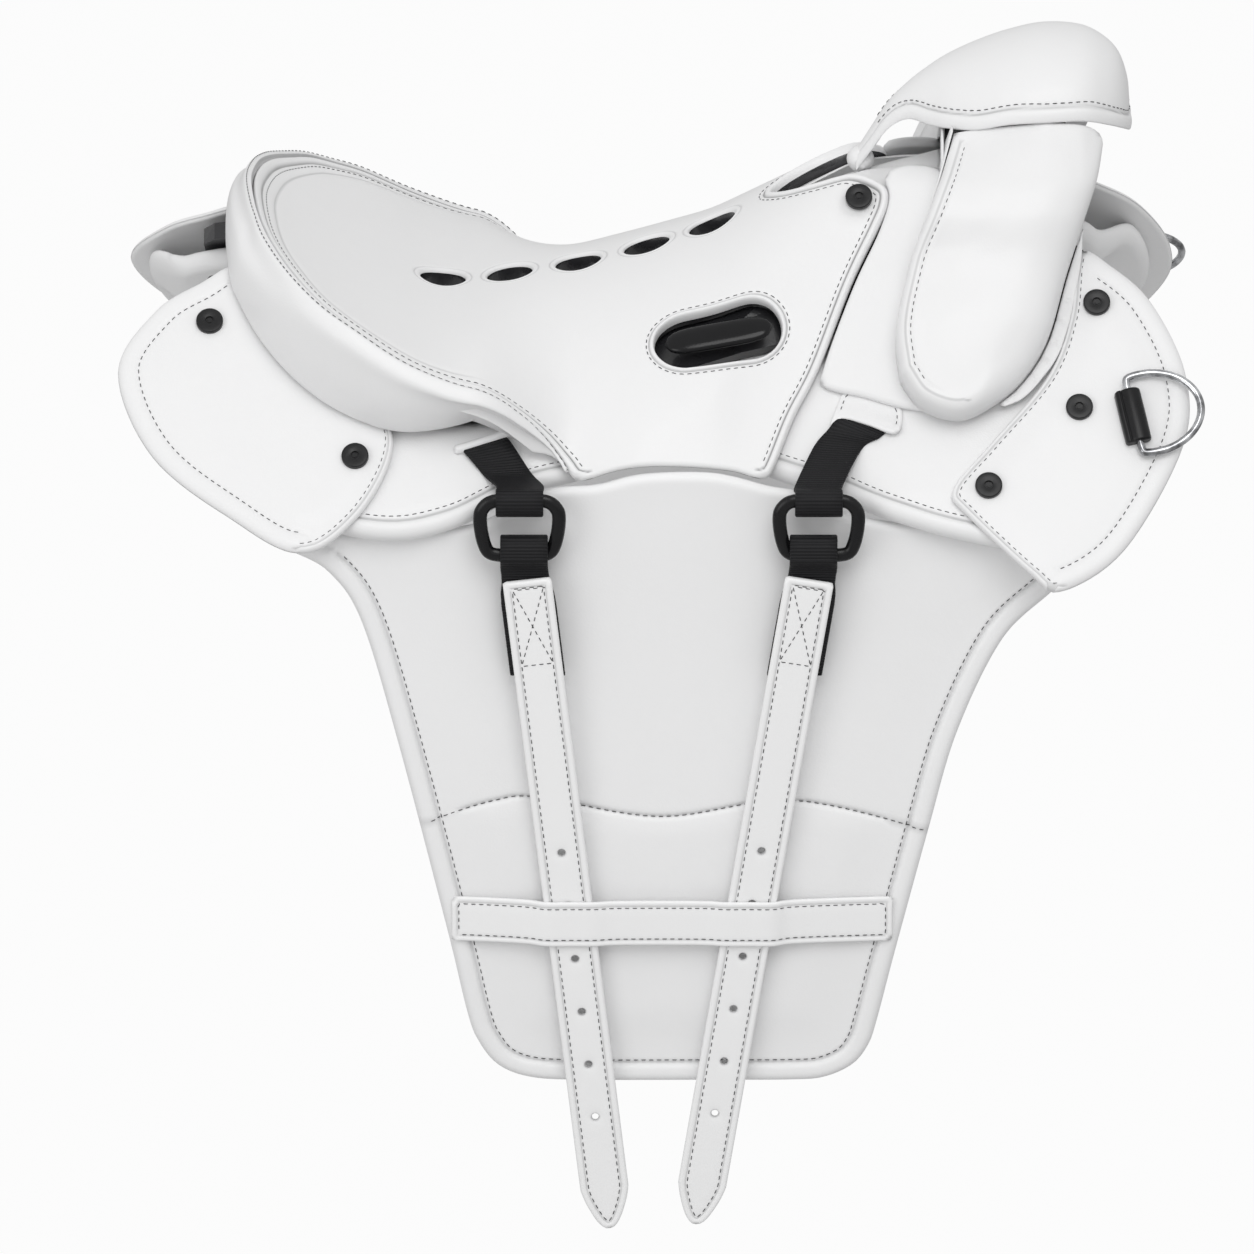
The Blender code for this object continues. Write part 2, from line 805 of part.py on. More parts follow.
def build_cap():
    angles = [math.radians(a) for a in CAP_ANGLES]
    front = CAP[-1][0]
    sections = []
    for x, wide, top, hem in CAP:
        inner_x = min(x, front - CAP_THICK + (x - front) * 0.2)
        outer = [cap_point(x, a) for a in angles]
        inner = [cap_point(inner_x, a, CAP_THICK) for a in reversed(angles)]
        if x == front:
            for p in inner:
                p.y = 0.0
        sections.append(outer + inner)
    bm = bmesh.new()
    rows = [[bm.verts.new(p) for p in section] for section in sections]
    count = len(rows[0])
    for a, b in zip(rows, rows[1:]):
        for k in range(count - 1):
            bm.faces.new((a[k], a[k + 1], b[k + 1], b[k]))
    half = count // 2
    for k in range(half - 1):
        bm.faces.new((rows[0][k], rows[0][k + 1], rows[0][count - 2 - k], rows[0][count - 1 - k]))
    bmesh.ops.recalc_face_normals(bm, faces=bm.faces[:])
    obj = add_object("pommel_cap", bm, "white_leather")
    bm.free()
    mirror_across_centre(obj)
    return obj


def fork_outer(x):
    """From the crown under the cap, down the swell, to the foot on the bar."""
    line = [cap_point(x, math.radians(a), CAP_THICK + 0.0006) for a in CAP_ANGLES[:-1]]
    under_hem = -cap_point(x, math.pi / 2, CAP_THICK + 0.0006).y
    line += [Vector((x, -min(y, under_hem + k), z)) for k, (y, z) in enumerate(SWELL)]
    line += [skin(x, t, COVER_THICK + 2 * GAP) for t in (0.108, 0.125, FORK_FOOT)]
    return line


def fork_inner(x):
    seat_on_bar = SEAT_THICK + BAR_SEAT - 2 * GAP
    line = [skin(x, t, seat_on_bar) for t in (FORK_FOOT, 0.125, 0.100, 0.080, 0.060)]
    line += [skin(x, 0.040, seat_on_bar)]
    line += [skin(x, 0.020, GULLET_DEPTH), skin(x, 0.0, GULLET_DEPTH)]
    return line


def build_fork():
    inside = list(X_LINES) + [row[0] for row in CAP]
    stations = [FORK_REAR] + sorted(x for x in inside if FORK_REAR < x < FORK_FRONT) + [FORK_FRONT]
    sections = [fork_outer(x) + fork_inner(x) for x in stations]
    bm = loft(sections)
    centre_face = [f for f in bm.faces if all(abs(v.co.y) < 1e-6 for v in f.verts)]
    bmesh.ops.delete(bm, geom=centre_face, context="FACES")
    obj = add_object("fork_arch", bm, "black_tree")
    bm.free()
    mirror_across_centre(obj)


def build_neck():
    stations = list(NECK) + [(FORK_REAR - GAP, *NECK_END)]
    sections = []
    for x, z, r in stations:
        around = np.linspace(0, 2 * math.pi, 12, endpoint=False)
        sections.append([Vector((x, 1.15 * r * math.cos(a), z + r * math.sin(a))) for a in around])
    bm = loft(sections)
    add_object("throat_neck", bm, "white_leather")
    bm.free()


def pad_row(k, x):
    """The foot of the knee pad on the fork or the skin, and the way out of it."""
    if k < 3:
        y, z = SWELL[k]
        way = (Vector((0, -0.82, 0.57)), Vector((0, -0.86, 0.50)), Vector((0, -0.84, 0.54)))[k]
        return Vector((x, -y, z)) + way * 0.0009, way
    t = PAD_DOWN[k - 3]
    return skin(x, t, -0.0006), skin_axes(x, t)[2]


def build_knee_pads():
    bm = bmesh.new()
    outer, inner = [], []
    for k, rear, front, stand in PAD_ROWS:
        row_out, row_in = [], []
        for m, share in enumerate(PAD_ACROSS):
            x = rear + (front - rear) * m / (len(PAD_ACROSS) - 1)
            foot, way = pad_row(k, x)
            row_in.append(bm.verts.new(foot))
            row_out.append(bm.verts.new(foot + way * max(stand * share, 0.004)))
        outer.append(row_out)
        inner.append(row_in)
    last = len(PAD_ACROSS) - 1
    for k in range(len(PAD_ROWS) - 1):
        for m in range(last):
            bm.faces.new((outer[k][m], outer[k][m + 1], outer[k + 1][m + 1], outer[k + 1][m]))
            bm.faces.new((inner[k][m], inner[k + 1][m], inner[k + 1][m + 1], inner[k][m + 1]))
        for m in (0, last):
            bm.faces.new((outer[k][m], outer[k + 1][m], inner[k + 1][m], inner[k][m]))
    for k in (0, len(PAD_ROWS) - 1):
        for m in range(last):
            bm.faces.new((outer[k][m], outer[k][m + 1], inner[k][m + 1], inner[k][m]))
    bmesh.ops.recalc_face_normals(bm, faces=bm.faces[:])
    add_pair("knee_pad", bm, "white_leather")


# Leather, padding and tree pieces laid on the form


def panel_top(x, t):
    """Deep under the seat and the tree, close under the skin below and beyond them."""
    deep = SEAT_THICK + BAR_SEAT + BAR_THICK + 6 * GAP
    shallow = SKIRT_THICK + GAP
    along = between(x, *PANEL_RISE_REAR) * (1 - between(x, *PANEL_RISE_FRONT))
    across = 1 - between(t, *WING_EDGE)
    return shallow + (deep - shallow) * along * across


def build_laid_pieces():
    bar_top = SEAT_THICK + BAR_SEAT
    lay_piece(
        "tree_bar",
        curve_through([(x, t, 0) for x, t in BAR_EDGE], 2),
        "black_tree",
        lambda x, t: bar_top,
        lambda x, t: bar_top + BAR_THICK,
    )
    panel = curve_through([(x, t, 0) for x, t in PANEL_EDGE + PANEL_INNER], 2)
    lay_piece(
        "panel",
        panel,
        "white_leather",
        panel_top,
        lambda x, t: panel_top(x, t) + PANEL_THICK,
    )
    lay_piece(
        "underpanel",
        curve_through([(x, t, 0) for x, t in UNDERPANEL_EDGE + UNDERPANEL_INNER], 2),
        "white_padding",
        lambda x, t: panel_top(x, t) + PANEL_THICK + 3 * GAP,
        lambda x, t: panel_top(x, t) + PANEL_THICK + 3 * GAP + UNDERPANEL_THICK,
    )
    for name, pattern, thick in (
        ("rear_skirt", REAR_SKIRT, SKIRT_THICK),
        ("front_skirt", FRONT_SKIRT, SKIRT_THICK),
        ("fork_cover", COVER_EDGE, COVER_THICK),
    ):
        lay_piece(
            name,
            curve_through([(x, t, 0) for x, t in pattern], 3),
            "white_leather",
            lambda x, t: 0.0,
            lambda x, t, thick=thick: thick,
        )


# Screws


def build_screws():
    for name, x, t in SCREWS:
        along, down, out = skin_axes(x, t)
        matrix = frame_at(skin(x, t, -0.0009), along, out)
        rings = ((0.0, SCREW_RADIUS), (0.45, SCREW_RADIUS), (0.85, 0.85 * SCREW_RADIUS), (1.0, 0.55 * SCREW_RADIUS))
        sections = []
        for level, radius in rings:
            around = np.linspace(0, 2 * math.pi, 12, endpoint=False)
            z = level * SCREW_HEIGHT
            sections.append([matrix @ Vector((radius * math.cos(a), radius * math.sin(a), z)) for a in around])
        bm = loft(sections)
        add_pair(name, bm, "black_plastic")


# Stirrup bars


def build_stirrup_bars():
    """A plate on two feet, so that a stirrup leather passes under it."""
    height = SEAT_THICK + BAR_SEAT - 4 * GAP
    half, span = STIRRUP_LONG / 2, STIRRUP_SPAN / 2
    side = [
        (-half, -height),
        (-span, -height),
        (-span, -0.0010 - STIRRUP_PLATE),
        (span, -0.0010 - STIRRUP_PLATE),
        (span, -height),
        (half, -height),
        (half, -0.0040),
        (half - 0.003, -0.0010),
        (-half + 0.003, -0.0010),
        (-half, -0.0040),
    ]
    base = slot_frame()
    sections = []
    for y, inset in ((-0.5, 0.0018), (-0.36, 0.0), (0.36, 0.0), (0.5, 0.0018)):
        row = []
        for u, w in side:
            lower = w - inset if w > -0.005 else w
            row.append(base @ Vector((u, y * STIRRUP_WIDE, lower)))
        sections.append(row)
    add_pair("stirrup_bar", loft(sections), "black_tree")


# Dee rings


def dee_frame():
    along, down, out = skin_axes(DEE_X, DEE_DOWN)
    turn = Matrix.Rotation(math.radians(DEE_TILT), 3, out)
    bar = (turn @ down).normalized()
    return frame_at(skin(DEE_X, DEE_DOWN), bar, out)


def build_dee():
    base = dee_frame()
    lift = KEEPER_THICK / 2 + 0.0008
    side = [
        (-KEEPER_WIDE / 2, 0.0),
        (KEEPER_WIDE / 2, 0.0),
        (KEEPER_WIDE / 2, KEEPER_THICK * 0.7),
        (KEEPER_WIDE / 2 - 0.002, KEEPER_THICK),
        (-KEEPER_WIDE / 2 + 0.002, KEEPER_THICK),
        (-KEEPER_WIDE / 2, KEEPER_THICK * 0.7),
    ]
    block = [
        [base @ Vector((u, y, w + 0.0008)) for y, w in side]
        for u in (-KEEPER_LONG / 2, KEEPER_LONG / 2)
    ]
    bore = []
    for u in (-KEEPER_LONG, KEEPER_LONG):
        r = DEE_WIRE + 0.0006
        around = np.linspace(0, 2 * math.pi, 12, endpoint=False)
        bore.append([base @ Vector((u, r * math.cos(a), lift + r * math.sin(a))) for a in around])
    for label, keeper in zip(("off", "near"), add_pair("dee_keeper", loft(block), "black_webbing")):
        bm = loft(bore)
        if label == "near":
            bmesh.ops.scale(bm, vec=(1, -1, 1), verts=bm.verts[:])
        cut(keeper, add_cutter(label + "_dee_bore", bm))
    sign = 1.0 if (base @ Vector((0, 0.01, 0)) - base.translation).x > 0 else -1.0
    line = [(-DEE_BAR / 2 + 0.004, 0.0), (0.0, 0.0), (DEE_BAR / 2 - 0.004, 0.0)]
    for k in range(13):
        a = math.radians(-90 + 180 * k / 12)
        u = -DEE_BAR / 2 * math.sin(a)
        v = 0.009 + (DEE_REACH - 0.009) * math.cos(a)
        line.append((u, v))
    points = [base @ Vector((u, sign * v, lift)) for u, v in line]
    bm = tube_ring(points, DEE_WIRE, 8)
    centre = base @ Vector((0, 0, lift))
    add_pair("dee_ring", bm, "chrome", centre)


def tube_ring(points, radius, sides):
    """A closed wire of round section through the points, which lie in one plane."""
    count = len(points)
    normal = Vector((0, 0, 0))
    for k in range(count):
        normal += points[k].cross(points[(k + 1) % count])
    normal.normalize()
    bm = bmesh.new()
    rows = []
    for k in range(count):
        before = (points[k] - points[k - 1]).normalized()
        after = (points[(k + 1) % count] - points[k]).normalized()
        way = (before + after).normalized()
        side = way.cross(normal).normalized()
        stretch = 1 / max((before.dot(way)), 0.6)
        row = []
        for m in range(sides):
            a = 2 * math.pi * m / sides
            row.append(bm.verts.new(points[k] + side * radius * stretch * math.cos(a) + normal * radius * math.sin(a)))
        rows.append(row)
    for k in range(count):
        a, b = rows[k], rows[(k + 1) % count]
        for m in range(sides):
            n = (m + 1) % sides
            bm.faces.new((a[m], a[n], b[n], b[m]))
    bmesh.ops.recalc_face_normals(bm, faces=bm.faces[:])
    return bm


# Rigging: webbing, rings and billets


def strip(left, right):
    """A band with two edges, each a list of outer and inner points."""
    sections = []
    for (a, b), (c, d) in zip(left, right):
        sections.append([a, b, d, c])
    return loft(sections)


def thick_path(line, thick):
    """Offsets a line in y and z to both sides, half the thickness each way."""
    made = []
    for k, (y, z) in enumerate(line):
        before = Vector(line[k]) - Vector(line[max(k - 1, 0)])
        after = Vector(line[min(k + 1, len(line) - 1)]) - Vector(line[k])
        before = before.normalized() if before.length > 0 else after.normalized()
        after = after.normalized() if after.length > 0 else before
        way = (before + after).normalized()
        out = Vector((-way.y, way.x))
        reach = thick / 2 / max(before.dot(way), 0.7)
        made.append((Vector((y, z)) + out * reach, Vector((y, z)) - out * reach))
    return made


def loop_round(pivot, reach, angles):
    return [(pivot[0] + reach * math.cos(math.radians(a)), pivot[1] + reach * math.sin(math.radians(a))) for a in angles]


def build_rig_web(name, slot_x, ring_x, slot_t, leave_t):
    """From its slot, over the panel's edge and round the ring's upper bar."""
    reach = RING_WIRE + WEB_SLACK + WEB_THICK / 2
    y, z = RIG_PIVOT
    turn = loop_round(RIG_PIVOT, reach, (90, 135, 180, 225, 270, 315, 352))
    rows = {-1: [], 1: []}
    on_panel = (slot_t, leave_t - RIG_LIFT, leave_t)
    for edge in (-1, 1):
        for k, t in enumerate(on_panel):
            s = (t - slot_t) / (leave_t - slot_t)
            x = slot_x + (ring_x - slot_x) * 0.75 * s + edge * WEB_WIDE / 2
            upper = SKIRT_THICK + GAP - WEB_THICK - 0.0014
            rows[edge].append((skin(x, t, upper), skin(x, t, upper + WEB_THICK)))
        lead = [(y + 0.0095, z + reach)] + turn
        for n, (outer, inner) in enumerate(thick_path(lead, WEB_THICK)):
            x = ring_x + edge * WEB_WIDE / 2
            rows[edge].append((Vector((x, *inner)), Vector((x, *outer))))
    bm = strip(rows[-1], rows[1])
    return add_pair(name, bm, "black_webbing")


def build_ring(name, ring_x):
    y, z = RIG_PIVOT
    half, low = RING_HALF, z - RING_DROP
    corners = []
    for side in (1, -1):
        for part, a0 in ((1, 0), (-1, 1)):
            top = part if side > 0 else -part
            centre_z = z - RING_CORNER if top > 0 else low + RING_CORNER
            half_x = half if top > 0 else half - RING_TAPER
            for k in range(4):
                start = {(1, 1): 90, (1, -1): 0, (-1, -1): -90, (-1, 1): -180}[(side, top)]
                a = math.radians(start - 90 * k / 3)
                corners.append(
                    Vector(
                        (
                            ring_x + side * (half_x - RING_CORNER) + RING_CORNER * math.cos(a),
                            y,
                            centre_z + RING_CORNER * math.sin(a),
                        )
                    )
                )
    bm = tube_ring(corners, RING_WIRE, 8)
    return add_pair(name, bm, "black_plastic", (ring_x, y, z))


def build_billet_web(name, pivot_x, tilt):
    """Round the ring's lower bar, both legs running down behind the billet."""
    y, z = RIG_PIVOT[0], RIG_PIVOT[1] - RING_DROP
    reach = RING_WIRE + WEB_SLACK + WEB_THICK / 2
    front = BILLET_FACE + BILLET_THICK + GAP + WEB_THICK / 2
    back = front + WEB_THICK + GAP
    line = [(front, z - WEB_LEG), (front, z - 0.0115)]
    line += loop_round((y, z), reach, (205, 180, 135, 90, 45, 0, -25))
    line += [(back, z - 0.0115), (back, z - WEB_LEG)]
    slope = math.tan(math.radians(tilt))
    rows = {-1: [], 1: []}
    for outer, inner in thick_path(line, WEB_THICK):
        for edge in (-1, 1):
            pair = []
            for p in (outer, inner):
                down = min(p[1] - (z - 0.008), 0.0)
                pair.append(Vector((pivot_x - down * slope + edge * WEB_WIDE / 2, p[0], p[1])))
            rows[edge].append(tuple(pair))
    bm = strip(rows[-1], rows[1])
    return add_pair(name, bm, "black_webbing", (pivot_x, y, z))


def build_billet(name, pivot_x, tilt):
    """A pointed strap with its row of holes, hung from the ring's lower bar."""
    y, z = RIG_PIVOT[0], RIG_PIVOT[1] - RING_DROP
    half = BILLET_WIDE / 2
    outline = [
        (-half, -BILLET_TOP),
        (-half, -BILLET_LONG + BILLET_POINT),
        (-half * 0.35, -BILLET_LONG + 0.003),
        (0.0, -BILLET_LONG),
        (half * 0.35, -BILLET_LONG + 0.003),
        (half, -BILLET_LONG + BILLET_POINT),
        (half, -BILLET_TOP),
    ]
    flat = bpy.data.curves.new(name, "CURVE")
    flat.dimensions = "2D"
    flat.fill_mode = "BOTH"
    flat.extrude = BILLET_THICK / 2
    holes = []
    for k in range(HOLES):
        level = -HOLE_FIRST - k * HOLE_STEP
        around = np.linspace(0, 2 * math.pi, 8, endpoint=False)
        holes.append([(HOLE_RADIUS * math.cos(a), level + HOLE_RADIUS * math.sin(a)) for a in around])
    for loop in [outline] + holes:
        spline = flat.splines.new("POLY")
        spline.points.add(len(loop) - 1)
        for point, (u, v) in zip(spline.points, loop):
            point.co = (u, v, 0, 1)
        spline.use_cyclic_u = True
    shape = bpy.data.objects.new(name, flat)
    cutters.objects.link(shape)
    graph = bpy.context.evaluated_depsgraph_get()
    mesh = bpy.data.meshes.new_from_object(shape.evaluated_get(graph))
    bpy.data.objects.remove(shape, do_unlink=True)
    bm = bmesh.new()
    bm.from_mesh(mesh)
    bmesh.ops.remove_doubles(bm, verts=bm.verts[:], dist=1e-6)
    stand = Matrix.Rotation(math.radians(-tilt), 4, "Y") @ Matrix.Rotation(math.radians(90), 4, "X")
    bmesh.ops.transform(bm, matrix=stand, verts=bm.verts[:])
    across = BILLET_FACE + BILLET_THICK / 2
    bmesh.ops.translate(bm, verts=bm.verts[:], vec=(pivot_x, across, z))
    bmesh.ops.recalc_face_normals(bm, faces=bm.faces[:])
    return add_pair(name, bm, "white_leather", (pivot_x, y, z))


def build_rigging():
    for end, web, billet in (("front", RIG_FRONT, BILLET_FRONT), ("rear", RIG_REAR, BILLET_REAR)):
        build_rig_web(end + "_rig_web", *web)
        build_ring(end + "_ring", web[1])
        build_billet_web(end + "_billet_web", *billet)
        build_billet(end + "_billet", *billet)


# Sweat flap and its keeper strap


def flap_face(z):
    """The outer face leaves the panel's edge and flares out until it hangs plumb."""
    fall = between(FLAP_PIVOT[1] - z, 0.0, FLAP_PIVOT[1] - FLAP_LEVEL)
    return FLAP_PIVOT[0] - FLAP_THICK / 2 - FLAP_FLARE * fall


def build_flaps():
    outline = curve_through([(x, z, 0) for x, z in FLAP_EDGE + FLAP_TOP], 2)
    levels = np.arange(-0.390, -0.020, 0.030)
    bm = cut_pattern(outline, (), levels)
    lay(bm, lambda x, z, layer: Vector((x, flap_face(z) + layer * FLAP_THICK, z)))
    add_pair("sweat_flap", bm, "white_padding", (0.0, *FLAP_PIVOT))


def build_keeper_straps():
    """Sewn to the flap at both ends and in the middle, and lifted over the two billets."""
    on_flap = flap_face(KEEPER_LEVEL) - 0.0006 - STRAP_THICK / 2
    over = BILLET_FACE - 0.0006 - STRAP_THICK / 2
    line = [(STRAP_ENDS[0], on_flap)]
    low, drop = RIG_PIVOT[1] - RING_DROP, KEEPER_LEVEL
    for pivot_x, tilt in (BILLET_REAR, BILLET_FRONT):
        centre = pivot_x + (low - drop) * math.tan(math.radians(tilt))
        half = BILLET_WIDE / 2 + 0.0035
        line += [(centre - half - 0.011, on_flap), (centre - half, over), (centre + half, over), (centre + half + 0.011, on_flap)]
    line += [(STRAP_ENDS[1], on_flap)]
    rows = {-1: [], 1: []}
    for outer, inner in thick_path(line, STRAP_THICK):
        for edge in (-1, 1):
            z = KEEPER_LEVEL + edge * STRAP_HIGH / 2
            rows[edge].append((Vector((*outer, z)), Vector((*inner, z))))
    bm = strip(rows[-1], rows[1])
    add_pair("keeper_strap", bm, "white_leather", (0.0, *FLAP_PIVOT))


build_seat()
build_cantle_roll()
build_cantle_board()
build_cap()
build_fork()
build_neck()
build_knee_pads()
build_laid_pieces()
build_screws()
build_stirrup_bars()
build_dee()
build_rigging()
build_flaps()
build_keeper_straps()
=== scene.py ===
import math

import bmesh
import bpy
import numpy as np
from mathutils import Matrix, Vector
from mathutils.geometry import delaunay_2d_cdt
from mathutils.kdtree import KDTree


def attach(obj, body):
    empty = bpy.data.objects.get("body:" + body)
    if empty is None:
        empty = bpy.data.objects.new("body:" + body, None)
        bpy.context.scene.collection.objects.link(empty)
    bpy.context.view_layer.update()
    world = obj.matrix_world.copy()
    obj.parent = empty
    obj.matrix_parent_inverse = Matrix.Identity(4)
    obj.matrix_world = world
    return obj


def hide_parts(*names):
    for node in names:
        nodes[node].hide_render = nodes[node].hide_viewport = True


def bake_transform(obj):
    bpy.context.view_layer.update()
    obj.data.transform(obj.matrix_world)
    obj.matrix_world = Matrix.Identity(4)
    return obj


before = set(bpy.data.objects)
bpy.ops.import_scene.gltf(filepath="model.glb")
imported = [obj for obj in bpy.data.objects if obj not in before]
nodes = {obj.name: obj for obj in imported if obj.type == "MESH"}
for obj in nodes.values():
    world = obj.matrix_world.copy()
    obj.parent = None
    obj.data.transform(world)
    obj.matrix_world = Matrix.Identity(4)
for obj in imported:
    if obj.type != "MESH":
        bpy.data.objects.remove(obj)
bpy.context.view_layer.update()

# Studio: a pale floor well below the hanging saddle, soft light from above and
# from the camera's side, and a long lens that looks twenty degrees down on the
# off side of the saddle.


def arithmetic(operation):
    """An operation on two values, and the same with the values swapped."""
    return (
        lambda self, other: self.math(operation, self, other),
        lambda self, other: self.math(operation, other, self),
    )


class Tone:
    """A socket of a material, with arithmetic that adds its Math nodes."""

    __add__, __radd__ = arithmetic("ADD")
    __sub__, __rsub__ = arithmetic("SUBTRACT")
    __mul__, __rmul__ = arithmetic("MULTIPLY")

    def __init__(self, tree, socket):
        self.tree, self.socket = tree, socket

    def math(self, operation, *values):
        return node(self.tree, "ShaderNodeMath", {"operation": operation}, dict(enumerate(values)))


def put(tree, made, values):
    """Sets or links the sockets of a node."""
    for name, value in values.items():
        if isinstance(value, Tone):
            tree.links.new(value.socket, made.inputs[name])
        else:
            made.inputs[name].default_value = value


def node(tree, kind, settings=None, values=None, output=0):
    """Adds a node with its settings and the values or links of its sockets."""
    made = tree.nodes.new(kind)
    for name, value in (settings or {}).items():
        setattr(made, name, value)
    put(tree, made, values or {})
    return Tone(tree, made.outputs[output])


def new_material(name):
    made = bpy.data.materials.new(name)
    made.use_nodes = True
    return made, made.node_tree, made.node_tree.nodes["Principled BSDF"]


def ray(tree, kind):
    return node(tree, "ShaderNodeLightPath", output=f"Is {kind} Ray")


FLOOR_LEVEL, FLOOR_WIDE, FLOOR_GLOW = -0.93, 60, 0.95
bpy.ops.object.select_all(action="DESELECT")
bpy.ops.mesh.primitive_plane_add(size=1, location=(0, 0, FLOOR_LEVEL))
floor = bpy.context.object
floor.name = "studio_floor"
spread = Matrix.Diagonal((FLOOR_WIDE, FLOOR_WIDE, 1, 1))
floor.data.transform(Matrix.Translation((0, 0, FLOOR_LEVEL)) @ spread)
floor.location = (0, 0, 0)
floor_look, tree, shader = new_material("pale_floor")
put(tree, shader, {"Base Color": (0.55, 0.55, 0.55, 1), "Roughness": 0.9})
glow = node(tree, "ShaderNodeEmission", None, {"Color": (1, 1, 1, 1), "Strength": 1.0})
mix = {0: ray(tree, "Camera") * FLOOR_GLOW, 1: Tone(tree, shader.outputs[0]), 2: glow}
mixed = node(tree, "ShaderNodeMixShader", None, mix)
tree.links.new(mixed.socket, tree.nodes["Material Output"].inputs["Surface"])
floor.data.materials.append(floor_look)

AMBIENT = 0.70
world = bpy.data.worlds.new("soft_studio")
bpy.context.scene.world = world
world.use_nodes = True
tree = world.node_tree
seen = ray(tree, "Camera")
bright = seen.math("MAXIMUM", seen, ray(tree, "Transmission"))
light = AMBIENT + (1.0 - AMBIENT) * bright
put(tree, tree.nodes["Background"], {"Color": (1, 1, 1, 1), "Strength": light})


def lamp(name, place, power, aim=(0, 0, -0.1), size=2.0):
    data = bpy.data.lights.new(name, "AREA")
    data.shape, data.size, data.energy = "DISK", size, power
    made = bpy.data.objects.new(name, data)
    made.location = place
    made.rotation_euler = (Vector(aim) - Vector(place)).to_track_quat("-Z", "Y").to_euler()
    bpy.context.scene.collection.objects.link(made)


lamp("overhead", (0.3, -2.2, 2.2), power=31)
lamp("camera_side", (-2.2, -2.6, 0.8), power=17)

LOOK_AT = Vector((-0.0078, -0.0556, -0.1528))
DISTANCE = 8.0
DOWN_TILT = math.radians(20)
FRAME_WIDE = 0.7524
lens = bpy.data.cameras.new("studio_camera")
lens.lens = lens.sensor_width * DISTANCE / FRAME_WIDE
lens.clip_end = 100
camera = bpy.data.objects.new("studio_camera", lens)
looking = Vector((0, math.cos(DOWN_TILT), -math.sin(DOWN_TILT)))
camera.location = LOOK_AT - looking * DISTANCE
camera.rotation_euler = looking.to_track_quat("-Z", "Y").to_euler()
bpy.context.scene.collection.objects.link(camera)
bpy.context.scene.camera = camera
bpy.context.scene.view_settings.view_transform = "Standard"

# Tree: moulded black bars, the fork and the cantle board that the leather
# hides. Seen only through the slots and vents.


def noise(tree, scale, detail=2.0, rough=0.5):
    place = node(tree, "ShaderNodeTexCoord", None, None, 3)
    values = {"Vector": place, "Scale": scale, "Detail": detail, "Roughness": rough}
    return node(tree, "ShaderNodeTexNoise", None, values)


def bump(tree, height, strength, distance):
    values = {"Height": height, "Strength": strength, "Distance": distance}
    return node(tree, "ShaderNodeBump", None, values)


def tint(tree, factor, low, high):
    values = {0: factor, 6: (*low, 1), 7: (*high, 1)}
    return node(tree, "ShaderNodeMix", {"data_type": "RGBA"}, values, 2)


moulded, tree, shader = new_material("moulded_tree")
fine, broad = noise(tree, 900, 3), noise(tree, 30, 3)
values = {
    "Base Color": tint(tree, broad, (0.010, 0.010, 0.011), (0.030, 0.030, 0.033)),
    "Roughness": 0.16 + broad * 0.18,
    "Normal": bump(tree, fine, 0.25, 0.0004),
    "Coat Weight": 0.3,
}
put(tree, shader, values)
for name in ("cantle_board", "fork_arch", "off_tree_bar", "near_tree_bar"):
    nodes[name].data.materials[0] = moulded
    for slot in nodes[name].material_slots:
        slot.material = moulded

# Underpanels and panels: white leather cushions under the bars. Each is cut as
# a flat pattern, x along the saddle and t down from its ridge, laid on the
# saddle's form and stuffed, its lower edge rolled and stitched.


def mm(*rows):
    return np.array(rows) / 1000


def tenths(*rows):
    """Measures given in tenths of a millimetre."""
    return np.array(rows) / 10000


# x, height of the ridge, radius of the crown, slope of the flank in degrees
FORM = np.array((
    (-330, 97, 100, 43.5), (-240, 97, 100, 43.5), (-200, 88, 130, 44.0), (-150, 64, 200, 46.0),
    (-109, 51, 235, 50.0), (-37, 60, 205, 53.0), (0, 70, 205, 53.6), (43, 84, 175, 53.0),
    (91, 112, 100, 49.0), (130, 134, 52, 47.0), (160, 137, 55, 47.0), (200, 135, 70, 48.0),
    (263, 129, 90, 49.0), (345, 125, 100, 49.0),
)) / (1000, 1000, 1000, 1)
FORM_X = np.linspace(-0.345, 0.360, 706)
soften = np.hanning(33)[1:-1]
soften /= soften.sum()
FORM_ROWS = [
    np.convolve(np.pad(np.interp(FORM_X, FORM[:, 0], FORM[:, k]), 15, "edge"), soften, "valid")
    for k in (1, 2, 3)
]
WING_EDGE = (0.125, 0.150)


def form_point(x, t, lift):
    """Points on the saddle's skin, the near side at distances below zero."""
    ridge, crown, slope = (np.interp(x, FORM_X, row) for row in FORM_ROWS)
    slope = np.radians(slope)
    side, t = np.sign(t), np.abs(t)
    turn = np.minimum(t / crown, slope)
    straight = np.maximum(t - crown * slope, 0)
    y = crown * np.sin(turn) + straight * np.cos(slope) + lift * np.sin(turn)
    z = ridge - crown * (1 - np.cos(turn)) - straight * np.sin(slope) + lift * np.cos(turn)
    return np.stack([x + 0 * y, -side * y, z], axis=-1)


def laid(p, lift):
    return form_point(p[:, 0], p[:, 1], lift)


def ease(value, low, high):
    s = np.clip((value - low) / (high - low), 0, 1)
    return s * s * (3 - 2 * s)


